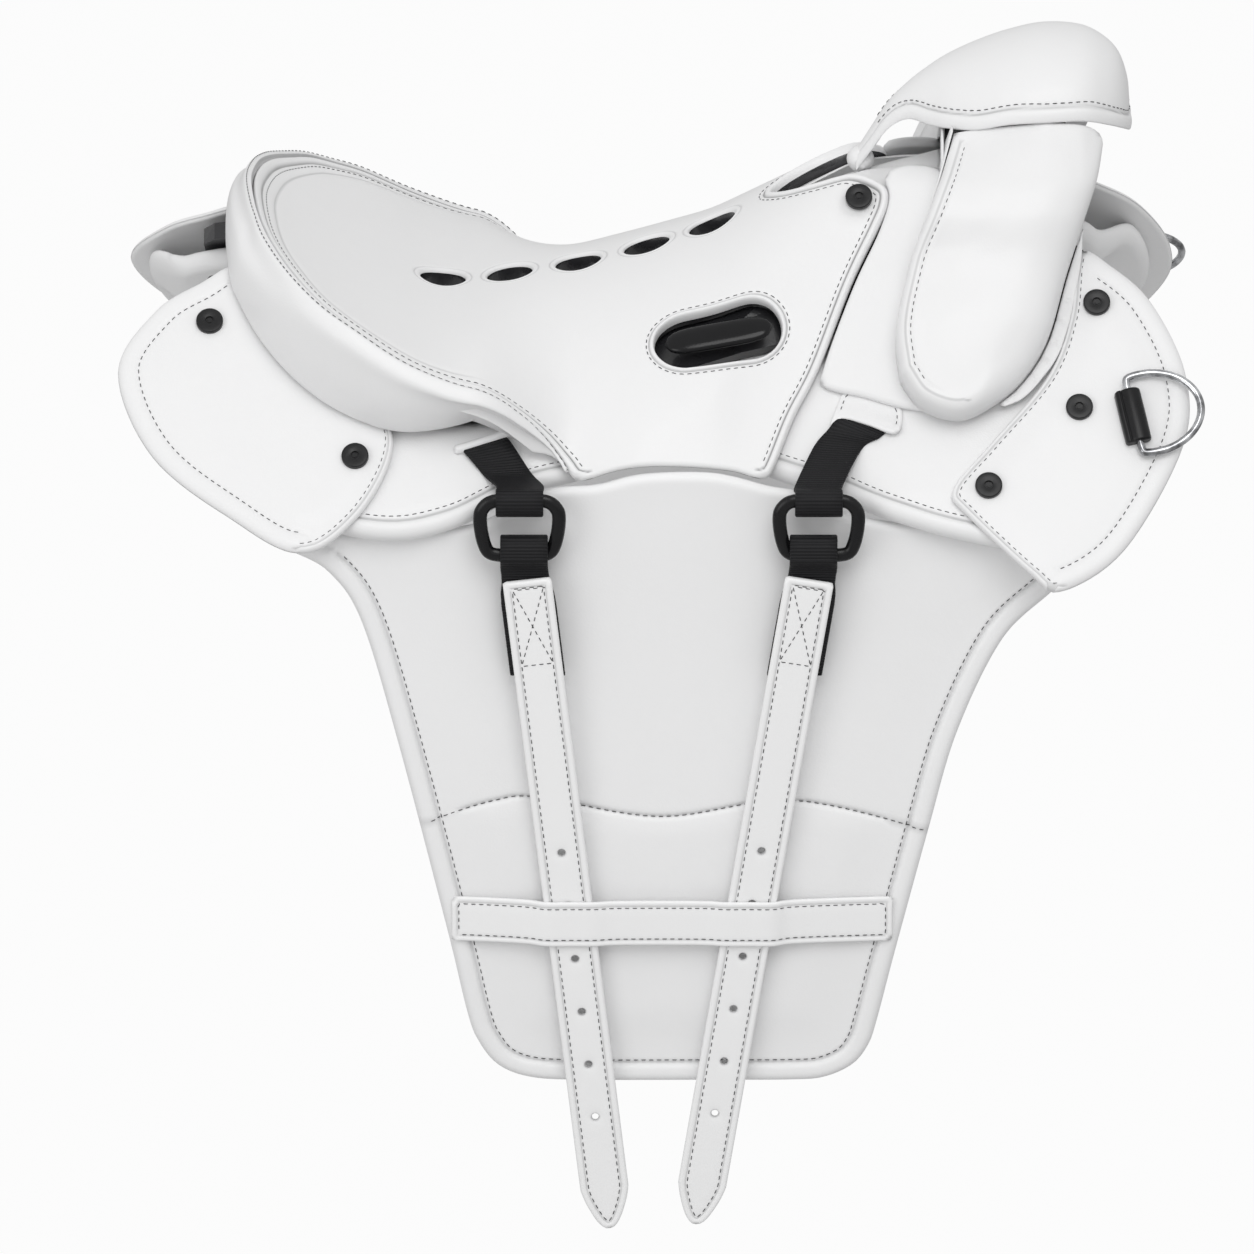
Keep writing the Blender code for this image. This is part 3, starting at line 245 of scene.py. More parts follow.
def curve(points, steps=8, closed=True, squared=False):
    """A smooth line through the points, in even steps between them."""
    p = np.array(points, float)
    if closed:
        q = np.vstack([p[-1:], p, p[:2]])
    elif squared:
        turned = np.ones(p.shape[1])
        turned[1] = -1
        q = np.vstack([p[1:2] * turned, p, p[-2:-1] * turned])
    else:
        q = np.vstack([2 * p[:1] - p[1:2], p, 2 * p[-1:] - p[-2:-1]])
    s = (np.arange(steps) / steps)[:, None]
    line = [
        0.5 * (2 * b + (c - a) * s + (2 * a - 5 * b + 4 * c - d) * s**2 + (3 * b - a - 3 * c + d) * s**3)
        for a, b, c, d in zip(q, q[1:], q[2:], q[3:])
    ]
    if not closed:
        line.append(p[-1:])
    return np.vstack(line)


def unit(rows):
    return rows / np.linalg.norm(rows, axis=1)[:, None]


def run_of(line):
    """How far along a line each of its points is."""
    return np.concatenate([[0], np.cumsum(np.linalg.norm(np.diff(line, axis=0), axis=1))])


def at_run(at, run, rows):
    """The rows at some distances along their run."""
    return np.stack([np.interp(at, run, row) for row in rows.T], axis=1)


def even(line, step, closed=False):
    """The same line with points a step apart."""
    if closed:
        line = np.vstack([line, line[:1]])
    run = run_of(line)
    count = max(int(round(run[-1] / step)), 2)
    at = np.linspace(0, run[-1], count + 1)
    made = at_run(at, run, line)
    return made[:-1] if closed else made


def ring_of(line):
    return np.vstack([line, line[:1]])


def turns(count):
    return np.linspace(0, 2 * math.pi, count, endpoint=False)


def away(p, line):
    """Distance of each point from a line."""
    a, ab = line[:-1], np.diff(line, axis=0)
    long = np.maximum((ab**2).sum(1), 1e-14)
    found = np.empty(len(p))
    for k in range(0, len(p), 2000):
        ap = p[k : k + 2000, None] - a[None]
        s = np.clip((ap * ab).sum(2) / long, 0, 1)
        found[k : k + 2000] = np.sqrt(((ap - s[..., None] * ab) ** 2).sum(2).min(1))
    return found


def from_edge(p, loop):
    return away(p, ring_of(loop))


def inside(p, loop):
    """Which points lie inside a loop."""
    a, b = loop, np.roll(loop, -1, axis=0)
    found = np.zeros(len(p), bool)
    for k in range(0, len(p), 2000):
        x, y = p[k : k + 2000, 0, None], p[k : k + 2000, 1, None]
        spans = (a[:, 1] > y) != (b[:, 1] > y)
        rise = np.where(b[:, 1] == a[:, 1], 1e-12, b[:, 1] - a[:, 1])
        cross = a[:, 0] + (y - a[:, 1]) / rise * (b[:, 0] - a[:, 0])
        found[k : k + 2000] = (spans & (x < cross)).sum(1) % 2 == 1
    return found


def turned_left(loop):
    """The loop run so that its inside is on the left."""
    x, y = loop[:, 0], loop[:, 1]
    area = (x * np.roll(y, -1) - np.roll(x, -1) * y).sum()
    return loop if area > 0 else loop[::-1]


def left_of(line):
    """The direction to the left of a line at each point."""
    ahead = unit(np.gradient(line, axis=0))
    return np.stack([-ahead[:, 1], ahead[:, 0]], axis=1)


def beside(line, reach):
    """A line moved to its left by a reach."""
    return line + left_of(line) * reach


def cut_out(outline, rings, step, holes=(), hole_rings=(), lines=(), reaches=(0, 8, 18, 32)):
    """A pattern's points and triangles: its edge, lines along edges and seams, and a net.

    Rings are the distances of lines inside the edge, hole_rings round holes and reaches
    beside seams, all in tenths of a millimetre.
    """
    rings, hole_rings, reaches = tenths(*rings), tenths(*hole_rings), tenths(*reaches)
    loops = [turned_left(outline)] + [turned_left(h) for h in holes]
    edges, start = [], 0
    for loop in loops:
        edges += [(start + k, start + (k + 1) % len(loop)) for k in range(len(loop))]
        start += len(loop)
    points = [np.vstack(loops)]
    for k, loop in enumerate(loops):
        ahead = unit(np.roll(loop, -1, axis=0) - np.roll(loop, 1, axis=0))
        left = np.stack([-ahead[:, 1], ahead[:, 0]], axis=1) * (1 if k == 0 else -1)
        for reach in rings if k == 0 else hole_rings:
            line = loop + left * reach
            keep = (from_edge(line, loop) > 0.97 * reach) & inside(line, loops[0])
            points.append(line[keep])
    low, high = loops[0].min(0), loops[0].max(0)
    x, y = np.meshgrid(np.arange(low[0], high[0], step), np.arange(low[1], high[1], step * 0.866))
    x[1::2] += step / 2
    grid = np.stack([x.ravel(), y.ravel()], axis=1)
    grid = grid[inside(grid, loops[0])]
    grid = grid[from_edge(grid, loops[0]) > rings[-1] + step * 0.55]
    for loop in loops[1:]:
        grid = grid[~inside(grid, loop)]
        grid = grid[from_edge(grid, loop) > hole_rings[-1] + step * 0.55]
    for line in lines:
        grid = grid[away(grid, line) > reaches[-1] + step * 0.4]
        for reach in sorted({*reaches, *(-r for r in reaches)}):
            moved = beside(line, reach)
            keep = inside(moved, loops[0]) & (from_edge(moved, loops[0]) > rings[-1] + 0.0008)
            points.append(moved[keep])
    points.append(grid)
    whole = np.vstack(points)
    found = delaunay_2d_cdt([Vector(p) for p in whole], edges, [], 0, 1e-7)
    flat = np.array([(v.x, v.y) for v in found[0]])
    faces = np.array([f for f in found[2] if len(f) == 3])
    centres = flat[faces].mean(1)
    keep = inside(centres, loops[0])
    for loop in loops[1:]:
        keep &= ~inside(centres, loop)
    rim = np.array([any(k < start for k in made) for made in found[3]])
    return flat, faces[keep], rim


def rounded(d, reach, half):
    """How far an edge turns down within its reach."""
    s = 1 - np.clip(d / reach, 0, 1)
    return -half * (1 - np.sqrt(np.clip(1 - s * s, 0, 1)))


def bell(d, at, wide):
    return np.exp(-(((d - at) / wide) ** 2))


def groove(d, at, wide, deep):
    return -deep * bell(d, at, wide)


def bead(d, wide, high):
    """A half-round bead along an edge, as wide as given."""
    s = np.clip(2 * d / wide - 1, -1, 1)
    return high * np.sqrt(1 - s * s)


def stuffed(flat, faces, rim, place, top, under):
    """A closed skin over a pattern, its two faces meeting at the edge."""
    upper, lower = place(flat, top), place(flat, under)
    count = len(flat)
    below = np.where(rim, np.arange(count), count + np.cumsum(~rim) - 1)
    verts = np.vstack([upper, lower[~rim]])
    whole = np.vstack([faces, below[faces][:, ::-1]])
    a, b, c = (verts[whole[:, k]] for k in range(3))
    if (a * np.cross(b, c)).sum() < 0:
        whole = whole[:, ::-1]
    return verts, whole


def sewn(place, top, line, pitch=0.0046, long=0.0031, wide=0.00055):
    """A row of stitches along a line of the pattern: small closed spindles of thread."""
    way = even(line, 0.0015)
    lift = top(way)
    base = place(way, lift)
    above = unit(place(way, lift + 0.002) - base)
    run = run_of(base)
    count = int(run[-1] / pitch)
    if count < 1:
        return np.zeros((0, 3)), []
    at = (np.arange(count) + 0.5) * run[-1] / count
    verts, faces = [], []
    back, middle, front = (at_run(at + k * long / 2, run, base) for k in (-1, 0, 1))
    ahead, up = unit(front - back), at_run(at, run, above)
    side = np.cross(ahead, up)
    for share, size, sink in ((-0.5, 0, -0.5), (-0.3, 1, 0), (0.3, 1, 0), (0.5, 0, -0.5)):
        centre = middle + ahead * long * share + up * (0.00022 + wide * sink)
        if size == 0:
            verts.append(centre[:, None])
        else:
            ways = np.stack([side, up, -side, -up], axis=1)
            verts.append(centre[:, None] + ways * wide / 2)
    verts = np.concatenate(verts, axis=1).reshape(-1, 3)
    for k in range(4):
        n = (k + 1) % 4
        faces += [(0, 1 + k, 1 + n), (1 + k, 5 + k, 5 + n, 1 + n), (9, 5 + n, 5 + k)]
    whole = [tuple(f + 10 * k for f in face) for k in range(count) for face in faces]
    return verts, whole


def piece(name, shapes, looks, painted_shade=None):
    """One object from (points, faces, look number) shapes, smooth all over."""
    verts, faces, numbers, start = [], [], [], 0
    for points, polys, look in shapes:
        verts.append(np.asarray(points, float).reshape(-1, 3))
        faces += [tuple(int(v) + start for v in f) for f in polys]
        numbers += list(look) if np.ndim(look) else [look] * len(polys)
        start += len(points)
    mesh = bpy.data.meshes.new(name)
    mesh.from_pydata(np.vstack(verts).tolist(), [], faces)
    for look in looks:
        mesh.materials.append(look)
    mesh.polygons.foreach_set("material_index", numbers)
    mesh.shade_smooth()
    # A point attribute carries the painted seam shade that the leather's colour reads.
    if painted_shade is not None:
        dark = np.zeros(start, np.float32)
        dark[: len(painted_shade)] = painted_shade
        mesh.attributes.new("painted_shade", "FLOAT", "POINT").data.foreach_set("value", dark)
    mesh.update()
    made = bpy.data.objects.new(name, mesh)
    bpy.context.scene.collection.objects.link(made)
    return made


def near_copy(made, name):
    """The same piece on the near side, as its mirror image."""
    mesh = made.data.copy()
    mesh.transform(Matrix.Diagonal((1, -1, 1, 1)))
    mesh.flip_normals()
    twin = bpy.data.objects.new(name, mesh)
    bpy.context.scene.collection.objects.link(twin)
    return twin


def worn(made, slot="white_leather", body="saddle", stands_for=None, fill=None):
    """Rides a piece on its body and hides the solid that it stands for; its slot is not used."""
    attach(made, body)
    if stands_for:
        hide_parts(stands_for)


def paired(off, name, body="saddle", stands_for=None, **how):
    """The off-side piece and its near-side twin, riding on their bodies."""
    for side, made in (("off", off), ("near", near_copy(off, "near_" + name))):
        rides = body if body == "saddle" else f"{side}_{body}"
        worn(made, body=rides, stands_for=stands_for and f"{side}_{stands_for}", **how)


def dressed(name, shapes, looks, painted_shade=None, **how):
    paired(piece("off_" + name, shapes, looks, painted_shade), name, **how)


def sheet(name, loop, rings, step, place, layers, looks, rows=(), **how):
    """A stuffed pattern on both sides, from its layers: upper face, lower face, painted shade in its seams.
    """
    flat, faces, rim = cut_out(loop, rings, step)
    upper, lower, painted_shade = layers(flat, from_edge(flat, loop))
    shapes = [(*stuffed(flat, faces, rim, place, upper, lower), 0)]
    dressed(name, shapes + [(*row, 1) for row in rows], looks, painted_shade, **how)


def leather(name, pale, dark, rough, grain=900.0):
    """Smooth coated leather: fine pebbled grain, soft wrinkles, and painted shade in its seams."""
    look, tree, shader = new_material(name)
    place = node(tree, "ShaderNodeTexCoord", None, None, 3)
    cells = node(tree, "ShaderNodeTexVoronoi", {"feature": "F1"}, {"Vector": place, "Scale": grain})
    fine = noise(tree, grain * 1.7, 2)
    wrinkle = noise(tree, 60, 4, 0.6)
    broad = noise(tree, 9, 2)
    # The mask read here mixes in the dark colour: painted shade in seams, grooves and punched holes, varied
    # by the wrinkles.
    seam = node(tree, "ShaderNodeAttribute", {"attribute_name": "painted_shade"}, None, 2)
    tone = tint(tree, broad * 0.6 + wrinkle * 0.4, pale, tuple(c * 0.965 for c in pale))
    shade = seam * (0.75 + 0.5 * wrinkle)
    shade = shade.math("MINIMUM", shade, 1.0)
    mix = {0: shade, 6: tone, 7: (*dark, 1)}
    values = {
        "Base Color": node(tree, "ShaderNodeMix", {"data_type": "RGBA"}, mix, 2),
        "Roughness": rough + 0.10 * broad + 0.14 * cells,
        "Coat Weight": 0.06,
        "Normal": bump(tree, cells * 0.7 + fine * 0.3 + wrinkle * 1.6, 0.30, 0.00022),
    }
    put(tree, shader, values)
    return look


# The second colour of each leather is the painted shade of its seams and grooves.
hide = leather("white_leather", (0.84, 0.84, 0.843), (0.16, 0.16, 0.165), 0.36)
soft_hide = leather("white_padding", (0.87, 0.87, 0.873), (0.18, 0.18, 0.185), 0.44, 700.0)
strap_hide = leather("white_strap", (0.90, 0.90, 0.902), (0.20, 0.20, 0.205), 0.38)

thread, tree, shader = new_material("grey_thread")
grey = tint(tree, noise(tree, 2500, 2), (0.030, 0.030, 0.032), (0.085, 0.085, 0.09))
put(tree, shader, {"Base Color": grey, "Roughness": 0.62})

PANEL_DEEP, PANEL_ROUND = 0.0140, 0.0065
PANEL_EDGE = mm(
    (-290, 100), (-297, 130), (-282, 180), (-240, 216), (-190, 226), (-145, 225), (-109, 213),
    (-60, 190), (0, 184), (50, 193), (98, 220), (134, 246), (180, 265), (236, 272), (280, 246),
    (308, 190), (304, 140), (280, 110),
)
PANEL_INNER = mm(
    (262, 92), (200, 84), (120, 82), (60, 62), (-30, 56), (-190, 58), (-262, 75),
)


def panel_top(p):
    """Deep under the seat and the tree, close under the skin below and beyond them."""
    x, t = p[:, 0], p[:, 1]
    deep, shallow = 0.0251, 0.0063
    along = ease(x, -0.300, -0.272) * (1 - ease(x, 0.272, 0.300))
    return shallow + (deep - shallow) * along * (1 - ease(t, *WING_EDGE))


panel_line = curve(np.vstack([PANEL_EDGE, PANEL_INNER]))
panel_roll = even(panel_line[: 8 * (len(PANEL_EDGE) - 1)], 0.003)
panel_loop = even(panel_line, 0.0035, closed=True)


def panel_skin(p):
    d = away(p, panel_roll)
    lift = -panel_top(p) + rounded(from_edge(p, panel_loop), PANEL_ROUND, PANEL_DEEP / 2)
    lift += groove(d, 0.0095, 0.0011, 0.0012) + groove(d, 0.0122, 0.0009, 0.0003)
    return lift


def panel_layers(p, edge):
    under = -panel_top(p) - PANEL_DEEP - rounded(edge, PANEL_ROUND, PANEL_DEEP / 2)
    # The third layer is painted shade along the panel's seam groove.
    return panel_skin(p), under, 0.55 * bell(away(p, panel_roll), 0.0096, 0.0007)


def within(line, loop, reach):
    """A line moved into a loop, without the stretches that come too near its edge."""
    for turn in (1, -1):
        moved = beside(line, turn * reach)
        if inside(moved, loop).mean() > 0.5:
            break
    return moved[from_edge(moved, loop) > 0.93 * reach]


PANEL_RINGS = (3, 10, 20, 35, 50, 65, 78, 86, 92, 98, 106, 114, 122, 134)
threads = sewn(laid, panel_skin, within(panel_roll, panel_loop, 0.0122))
sheet(
    "panel_cushion", panel_loop, PANEL_RINGS, 0.006, laid, panel_layers, [hide, thread], [threads],
    stands_for="panel", fill=0.7,
)

UNDERPANEL_DEEP = 0.0200
UNDERPANEL_EDGE = mm(
    (-268, 100), (-270, 130), (-240, 165), (-180, 172), (-100, 165), (0, 158), (90, 165), (180, 185),
    (250, 180), (280, 140), (266, 110), (240, 104), (180, 102), (110, 103), (56, 83), (-30, 64),
    (-180, 64), (-240, 80),
)
QUILT_PITCH, QUILT_DEEP = 0.120, 0.0012


def underpanel_layers(p, edge):
    turn = rounded(edge, 0.0110, UNDERPANEL_DEEP / 2)
    upper = -panel_top(p) - PANEL_DEEP - 0.0009
    quilt = QUILT_DEEP * np.abs(np.cos(p[:, 0] * 2 * np.pi / QUILT_PITCH)) ** 0.4
    return upper + turn, upper - UNDERPANEL_DEEP - turn + QUILT_DEEP - quilt, 0 * edge


sheet(
    "underpanel_cushion", even(curve(UNDERPANEL_EDGE), 0.004, closed=True),
    (4, 15, 30, 50, 75, 100, 125), 0.006, laid, underpanel_layers, [soft_hide],
    stands_for="underpanel", slot="white_padding", fill=0.8,
)

# Seat: one sheet of padded leather, dished behind and drawn down over the bars
# as two wings, with five rolled vents on its centre line and a bound slot over
# each stirrup bar. Its edge is piped, creased and stitched all round.

SEAT_DEEP = 0.0115
RIM = mm(
    (-231, 0, 112), (-228, 40, 109), (-222, 70, 103), (-212, 97, 95), (-200, 120, 87), (-185, 137, 77),
    (-167, 149, 67), (-136, 160, 49), (-103, 163, 36), (-74, 163, 32),
)
# Rows: rear of the wing, its foot, then its front with the horn and the throat
WING = mm(
    (-57, 168), (-46, 178), (-40, 187), (-34, 190),
    (-11, 189), (26, 194), (53, 201), (71, 210),
    (78, 207), (91, 177), (106, 150), (125, 103), (141, 70),
    (147, 55), (147, 44), (139, 36), (125, 28), (105, 22), (90, 15), (81, 6), (79, 0),
)
SEAT_CENTRE = mm(
    (-231, 112), (-222, 100), (-210, 89), (-195, 80), (-175, 70), (-150, 60), (-118, 50), (-78, 53),
    (-37, 60),
)
DISH_ENDS = (-0.100, -0.039)
STEPS = 8
half = curve(np.vstack([RIM[:, :2], WING]), STEPS, closed=False, squared=True)
half[:, 1] = np.maximum(half[:, 1], 0)
rim_end, foot_start, foot_end = STEPS * 9, STEPS * 13, STEPS * 17
centre_line = curve(SEAT_CENTRE, STEPS, closed=False)
rim_height = curve(RIM[:, ::2], STEPS, closed=False)


def seat_place(p, lift):
    """The dish behind, drawn into the skin over the wings."""
    x, t = p[:, 0], p[:, 1]
    out = np.interp(x, half[:foot_start, 0], half[:foot_start, 1])
    share = np.minimum(np.abs(t) / np.maximum(out, 1e-4), 1)
    centre = np.interp(x, *centre_line.T)
    rise = np.interp(x, *rim_height.T) - centre
    dish = np.stack([x, -t, centre + rise * share**3 + lift * 1.1], axis=1)
    s = ease(x, *DISH_ENDS)[:, None]
    return dish * (1 - s) + form_point(x, t, lift) * s


def spot_on(x, t, lift=0):
    return form_point(np.array([x]), np.array([t]), lift)[0]


def axes_at(x, t):
    """Forward, down the flank and outwards at a point of the skin."""
    step = 0.003
    p = form_point(np.array([x + step, x - step, x, x]), np.array([t, t, t + step, t - step]), 0)
    along, down = (Vector(v).normalized() for v in (p[0] - p[1], p[2] - p[3]))
    out = down.cross(along).normalized()
    return along, down, out if out.z > 0 else -out


def frame_at(origin, along, up):
    side = up.cross(along).normalized()
    made = Matrix((along, side, up)).transposed().to_4x4()
    made.translation = origin
    return made


SLOT_X, SLOT_DOWN, SLOT_TURN = 0.046, 0.112, math.radians(-6)
SLOT_LONG, SLOT_WIDE = 0.0760, 0.0400
along, down, out = axes_at(SLOT_X, SLOT_DOWN)
along = (Matrix.Rotation(SLOT_TURN, 3, out) @ along).normalized()
slot_frame = frame_at(Vector(spot_on(SLOT_X, SLOT_DOWN)), along, out)


def on_pattern(points):
    """Places on the flank, given in space, as x and distance down the form."""
    ridge, crown, slope = (np.interp(points[:, 0], FORM_X, row) for row in FORM_ROWS)
    slope = np.radians(slope)
    y = np.abs(points[:, 1]) - crown * np.sin(slope)
    z = ridge - crown * (1 - np.cos(slope)) - points[:, 2]
    return np.stack([points[:, 0], crown * slope + y * np.cos(slope) + z * np.sin(slope)], axis=1)


slot_points = []
for end in (1, -1):
    for a in np.radians(np.linspace(-90, 90, 19)):
        u = (SLOT_LONG - SLOT_WIDE) / 2 + SLOT_WIDE / 2 * math.cos(a)
        slot_points.append(slot_frame @ Vector((end * u, end * SLOT_WIDE / 2 * math.sin(a), 0)))
slot_loop = even(on_pattern(np.array(slot_points)), 0.0028, closed=True)
slots = [slot_loop, slot_loop * (1, -1)]


def oval(x, t, turn, long, wide):
    return np.stack([x + long * np.cos(turn), t + wide * np.sin(turn)], axis=1)


vents = [oval(x, 0, turns(36), 0.0137, 0.0142) for x in (-0.118, -0.078, -0.037, 0.004, 0.043)]
SEAT_SCREW = (0.130, 0.048)


def dimple(p, x, t):
    """The leather pulled down round a screw's head."""
    d = np.hypot(p[:, 0] - x, p[:, 1] - t)
    return -0.0011 * bell(np.maximum(d - 0.0082, 0), 0, 0.0030) + 0.0004 * bell(d, 0.0165, 0.004)


full_turn = np.linspace(0, 2 * math.pi, 28)
seat_rings = [oval(SEAT_SCREW[0], s * SEAT_SCREW[1], full_turn, 0.0095, 0.0095) for s in (1, -1)]

seat_loop = even(np.vstack([half, half[-2:0:-1] * (1, -1)]), 0.0034, closed=True)
behind, ahead = half[: foot_start + 1], half[foot_end:]
piped = [
    np.vstack([behind[::-1] * (1, -1), behind]),
    np.vstack([ahead, ahead[::-1] * (1, -1)]),
]
rim_part = np.vstack([half[: rim_end + 1][::-1] * (1, -1), half[: rim_end + 1]])
RIM_SEAM, PIPE_SEAM, SLOT_SEAM, VENT_SEAM = 0.0128, 0.0052, 0.0034, 0.0036


def seat_deep(p):
    thinner = ease(np.abs(p[:, 1]), *WING_EDGE) * ease(p[:, 0], *DISH_ENDS)
    return SEAT_DEEP + (0.0057 - SEAT_DEEP) * thinner


def from_pipe(p):
    return np.minimum(away(p, piped[0]), away(p, piped[1]))


def seat_skin(p):
    deep, pipe = seat_deep(p), from_pipe(p)
    lift = rounded(from_edge(p, seat_loop), 0.0027, np.minimum(deep, 0.0100) / 2)
    lift += bead(pipe, 0.0050, 0.0010)
    lift += groove(pipe, PIPE_SEAM, 0.0006, 0.0010) + groove(pipe, 0.0078, 0.0008, 0.0003)
    lift += groove(away(p, rim_part), RIM_SEAM, 0.0007, 0.0006) * ease(-p[:, 0], 0.085, 0.120)
    for vent in vents:
        h = from_edge(p, vent)
        lift += rounded(h, 0.0024, 0.0022) + groove(h, VENT_SEAM, 0.0006, 0.0006)
    for side in (1, -1):
        lift += dimple(p, SEAT_SCREW[0], side * SEAT_SCREW[1])
    for slot_line in slots:
        h = from_edge(p, slot_line)
        lift += rounded(h, 0.0016, deep / 2) + bead(h, 0.0032, 0.0007)
        lift += groove(h, SLOT_SEAM, 0.0005, 0.0008) + groove(h, 0.0050, 0.0007, 0.0003)
    return lift


SEAT_RINGS = (2, 6, 12, 20, 30, 40, 46, 50, 54, 60, 68, 78, 90, 108, 120, 126, 132, 142)
VENT_RINGS = (2, 6, 12, 20, 28, 32, 35, 38, 42, 47, 53, 58, 64, 75)
flat, faces, rim = cut_out(seat_loop, SEAT_RINGS, 0.0048, vents + slots, VENT_RINGS, seat_rings)
deep = seat_deep(flat)
edge = np.minimum(from_edge(flat, seat_loop), np.min([from_edge(flat, h) for h in vents + slots], axis=0))
under = -deep - rounded(edge, 0.0020, deep / 2)
verts, whole = stuffed(flat, faces, rim, seat_place, seat_skin(flat), under)
# Painted shade in the grooves beside the piping, along the rim seam, and round the vents and slots.
painted_shade = 0.8 * bell(from_pipe(flat), PIPE_SEAM, 0.0005)
painted_shade += 0.45 * bell(away(flat, rim_part), RIM_SEAM, 0.0005) * ease(-flat[:, 0], 0.085, 0.120)
for h in vents:
    painted_shade += 0.30 * bell(from_edge(flat, h), VENT_SEAM, 0.0005)
for h in slots:
    painted_shade += 0.55 * bell(from_edge(flat, h), SLOT_SEAM, 0.0004)
lines = [within(line, seat_loop, 0.0078) for line in piped]
lines += [ring_of(beside(ring_of(turned_left(h)), -0.0050)[:-1]) for h in slots]
shapes = [(verts, whole, np.repeat([0, 2], len(faces)))]
shapes += [(*sewn(seat_place, seat_skin, line), 1) for line in lines]
seat = piece("seat_cover", shapes, [hide, thread, moulded], painted_shade)
worn(seat, stands_for="seat", fill=0.6)

# Cantle roll: a stuffed leather roll sewn round the seat's rim and tapering
# out under each wing. A row of stitches runs beside its seam.

ROLL_FOOT = mm(
    (-243, 0), (-243, 38), (-240, 74), (-231, 98), (-218, 120), (-199, 141), (-174, 155), (-140, 161),
    (-106, 151), (-84, 141),
    (-64, 141),
)
ROLL_BULGE = 0.0110
plan = half[: foot_start - 11]
up = np.array((0, 0, 1.0))
tops = seat_place(plan, 0)
way = np.gradient(tops, axis=0)
way[0] = (0, -1, 0)
outward = unit(np.stack([way[:, 1], -way[:, 0], 0 * way[:, 0]], axis=1))
foot = curve(ROLL_FOOT, STEPS, closed=False, squared=True)[: STEPS * 9 + 1]
foot[:, 1] = np.maximum(foot[:, 1], 0)
feet = laid(foot, 0.0006)
feet[:, 2] = np.minimum(feet[:, 2], 0.080)
last = len(feet) - 7
drop = feet[: last + 1] - tops[: last + 1]
shorter = 1 - 0.90 * ease(np.arange(last + 1, len(plan)), last, len(plan) - 4)
drop = np.vstack([drop, drop[-1] * shorter[:, None]])
feet = tops + drop
tall = np.linalg.norm(drop, axis=1)[:, None]
full = np.clip(tall / 0.040, 0.20, 1)
sunk = np.minimum(0.0157, 0.70 * tall)
small = np.clip(full / 0.6, 0, 1)
bulge = outward * ROLL_BULGE * full
section = np.stack(
    [
        tops + outward * 0.0006 - up * 0.0006,
        tops + outward * 0.0030 * full + up * 0.0014 * small,
        tops + outward * 0.0062 * full + up * 0.0014 * small,
        tops + bulge * 0.98 - up * 0.0060 * full,
        tops + drop * 0.30 + bulge * 1.08,
        tops + drop * 0.58 + bulge * 0.98,
        tops + drop * 0.84 + bulge * 0.66,
        feet + outward * 0.0030 * small + up * 0.0014 * small,
        feet - outward * 0.0015 * full + up * 0.0022 * small,
        feet - outward * 0.0080 * full + up * 0.0110 * full,
        tops + drop * 0.62 - outward * 0.0060 * full,
        tops - up * sunk - outward * 0.0010,
        tops + outward * 0.0008 - up * sunk * 0.89,
    ],
    axis=1,
)
rings = np.array([curve(row, 4) for row in section])
rings = np.vstack([rings[:0:-1] * (1, -1, 1), rings])


def tube_faces(rows, sides, closed=False):
    """Quads between rows of points round a tube."""
    faces = []
    for a in range(rows if closed else rows - 1):
        here, there = a * sides, (a + 1) % rows * sides
        for k in range(sides):
            n = (k + 1) % sides
            faces.append((here + k, here + n, there + n, there + k))
    return faces


def outward_faces(verts, faces):
    """The same faces, turned so that the closed shape they bound has them outwards."""
    volume = 0
    for f in faces:
        for a, b in zip(f[1:], f[2:]):
            volume += verts[f[0]] @ np.cross(verts[a], verts[b])
    return [tuple(f[::-1]) for f in faces] if volume < 0 else faces


def tube(rings):
    """The shape of a closed tube through rings of points, with a point at each end."""
    rings = np.array(rings)
    rows, sides = rings.shape[:2]
    faces = tube_faces(rows, sides)
    last = (rows - 1) * sides
    faces += [(rows * sides, (k + 1) % sides, k) for k in range(sides)]
    faces += [(rows * sides + 1, last + k, last + (k + 1) % sides) for k in range(sides)]
    verts = np.vstack([rings.reshape(-1, 3), rings[0].mean(0), rings[-1].mean(0)])
    return verts, outward_faces(verts, faces), 0


def sewn_between(line, above):
    """Stitches along a line in space, with the direction out of the leather at each point."""
    run = run_of(line)

    def place(p, lift):
        return at_run(p[:, 0], run, line) + at_run(p[:, 0], run, above) * np.reshape(lift, (-1, 1))

    return sewn(place, lambda p: 0 * p[:, 0], np.stack([run, 0 * run], axis=1))


shape = tube(rings)
normal = unit(np.vstack([(outward * 0.5 + up)[:0:-1] * (1, -1, 1), outward * 0.5 + up]))
threads = sewn_between(rings[:, 6] + (0, 0, 0.0002), normal)
# Painted shade along the roll's seam with the seat, at the first two points of each section.
painted_shade = np.zeros(len(shape[0]))
painted_shade[: rings.size // 3].reshape(rings.shape[:2])[:, :2] = 0.6
roll = piece("cantle_padding", [shape, (*threads, 1)], [hide, thread], painted_shade)
worn(roll, stands_for="cantle_roll", fill=0.8)

# Skirts and fork covers: padded leather flaps screwed to the bars behind and in
# front, with a broad rolled outer edge, stitched, and a fine piped inner edge.

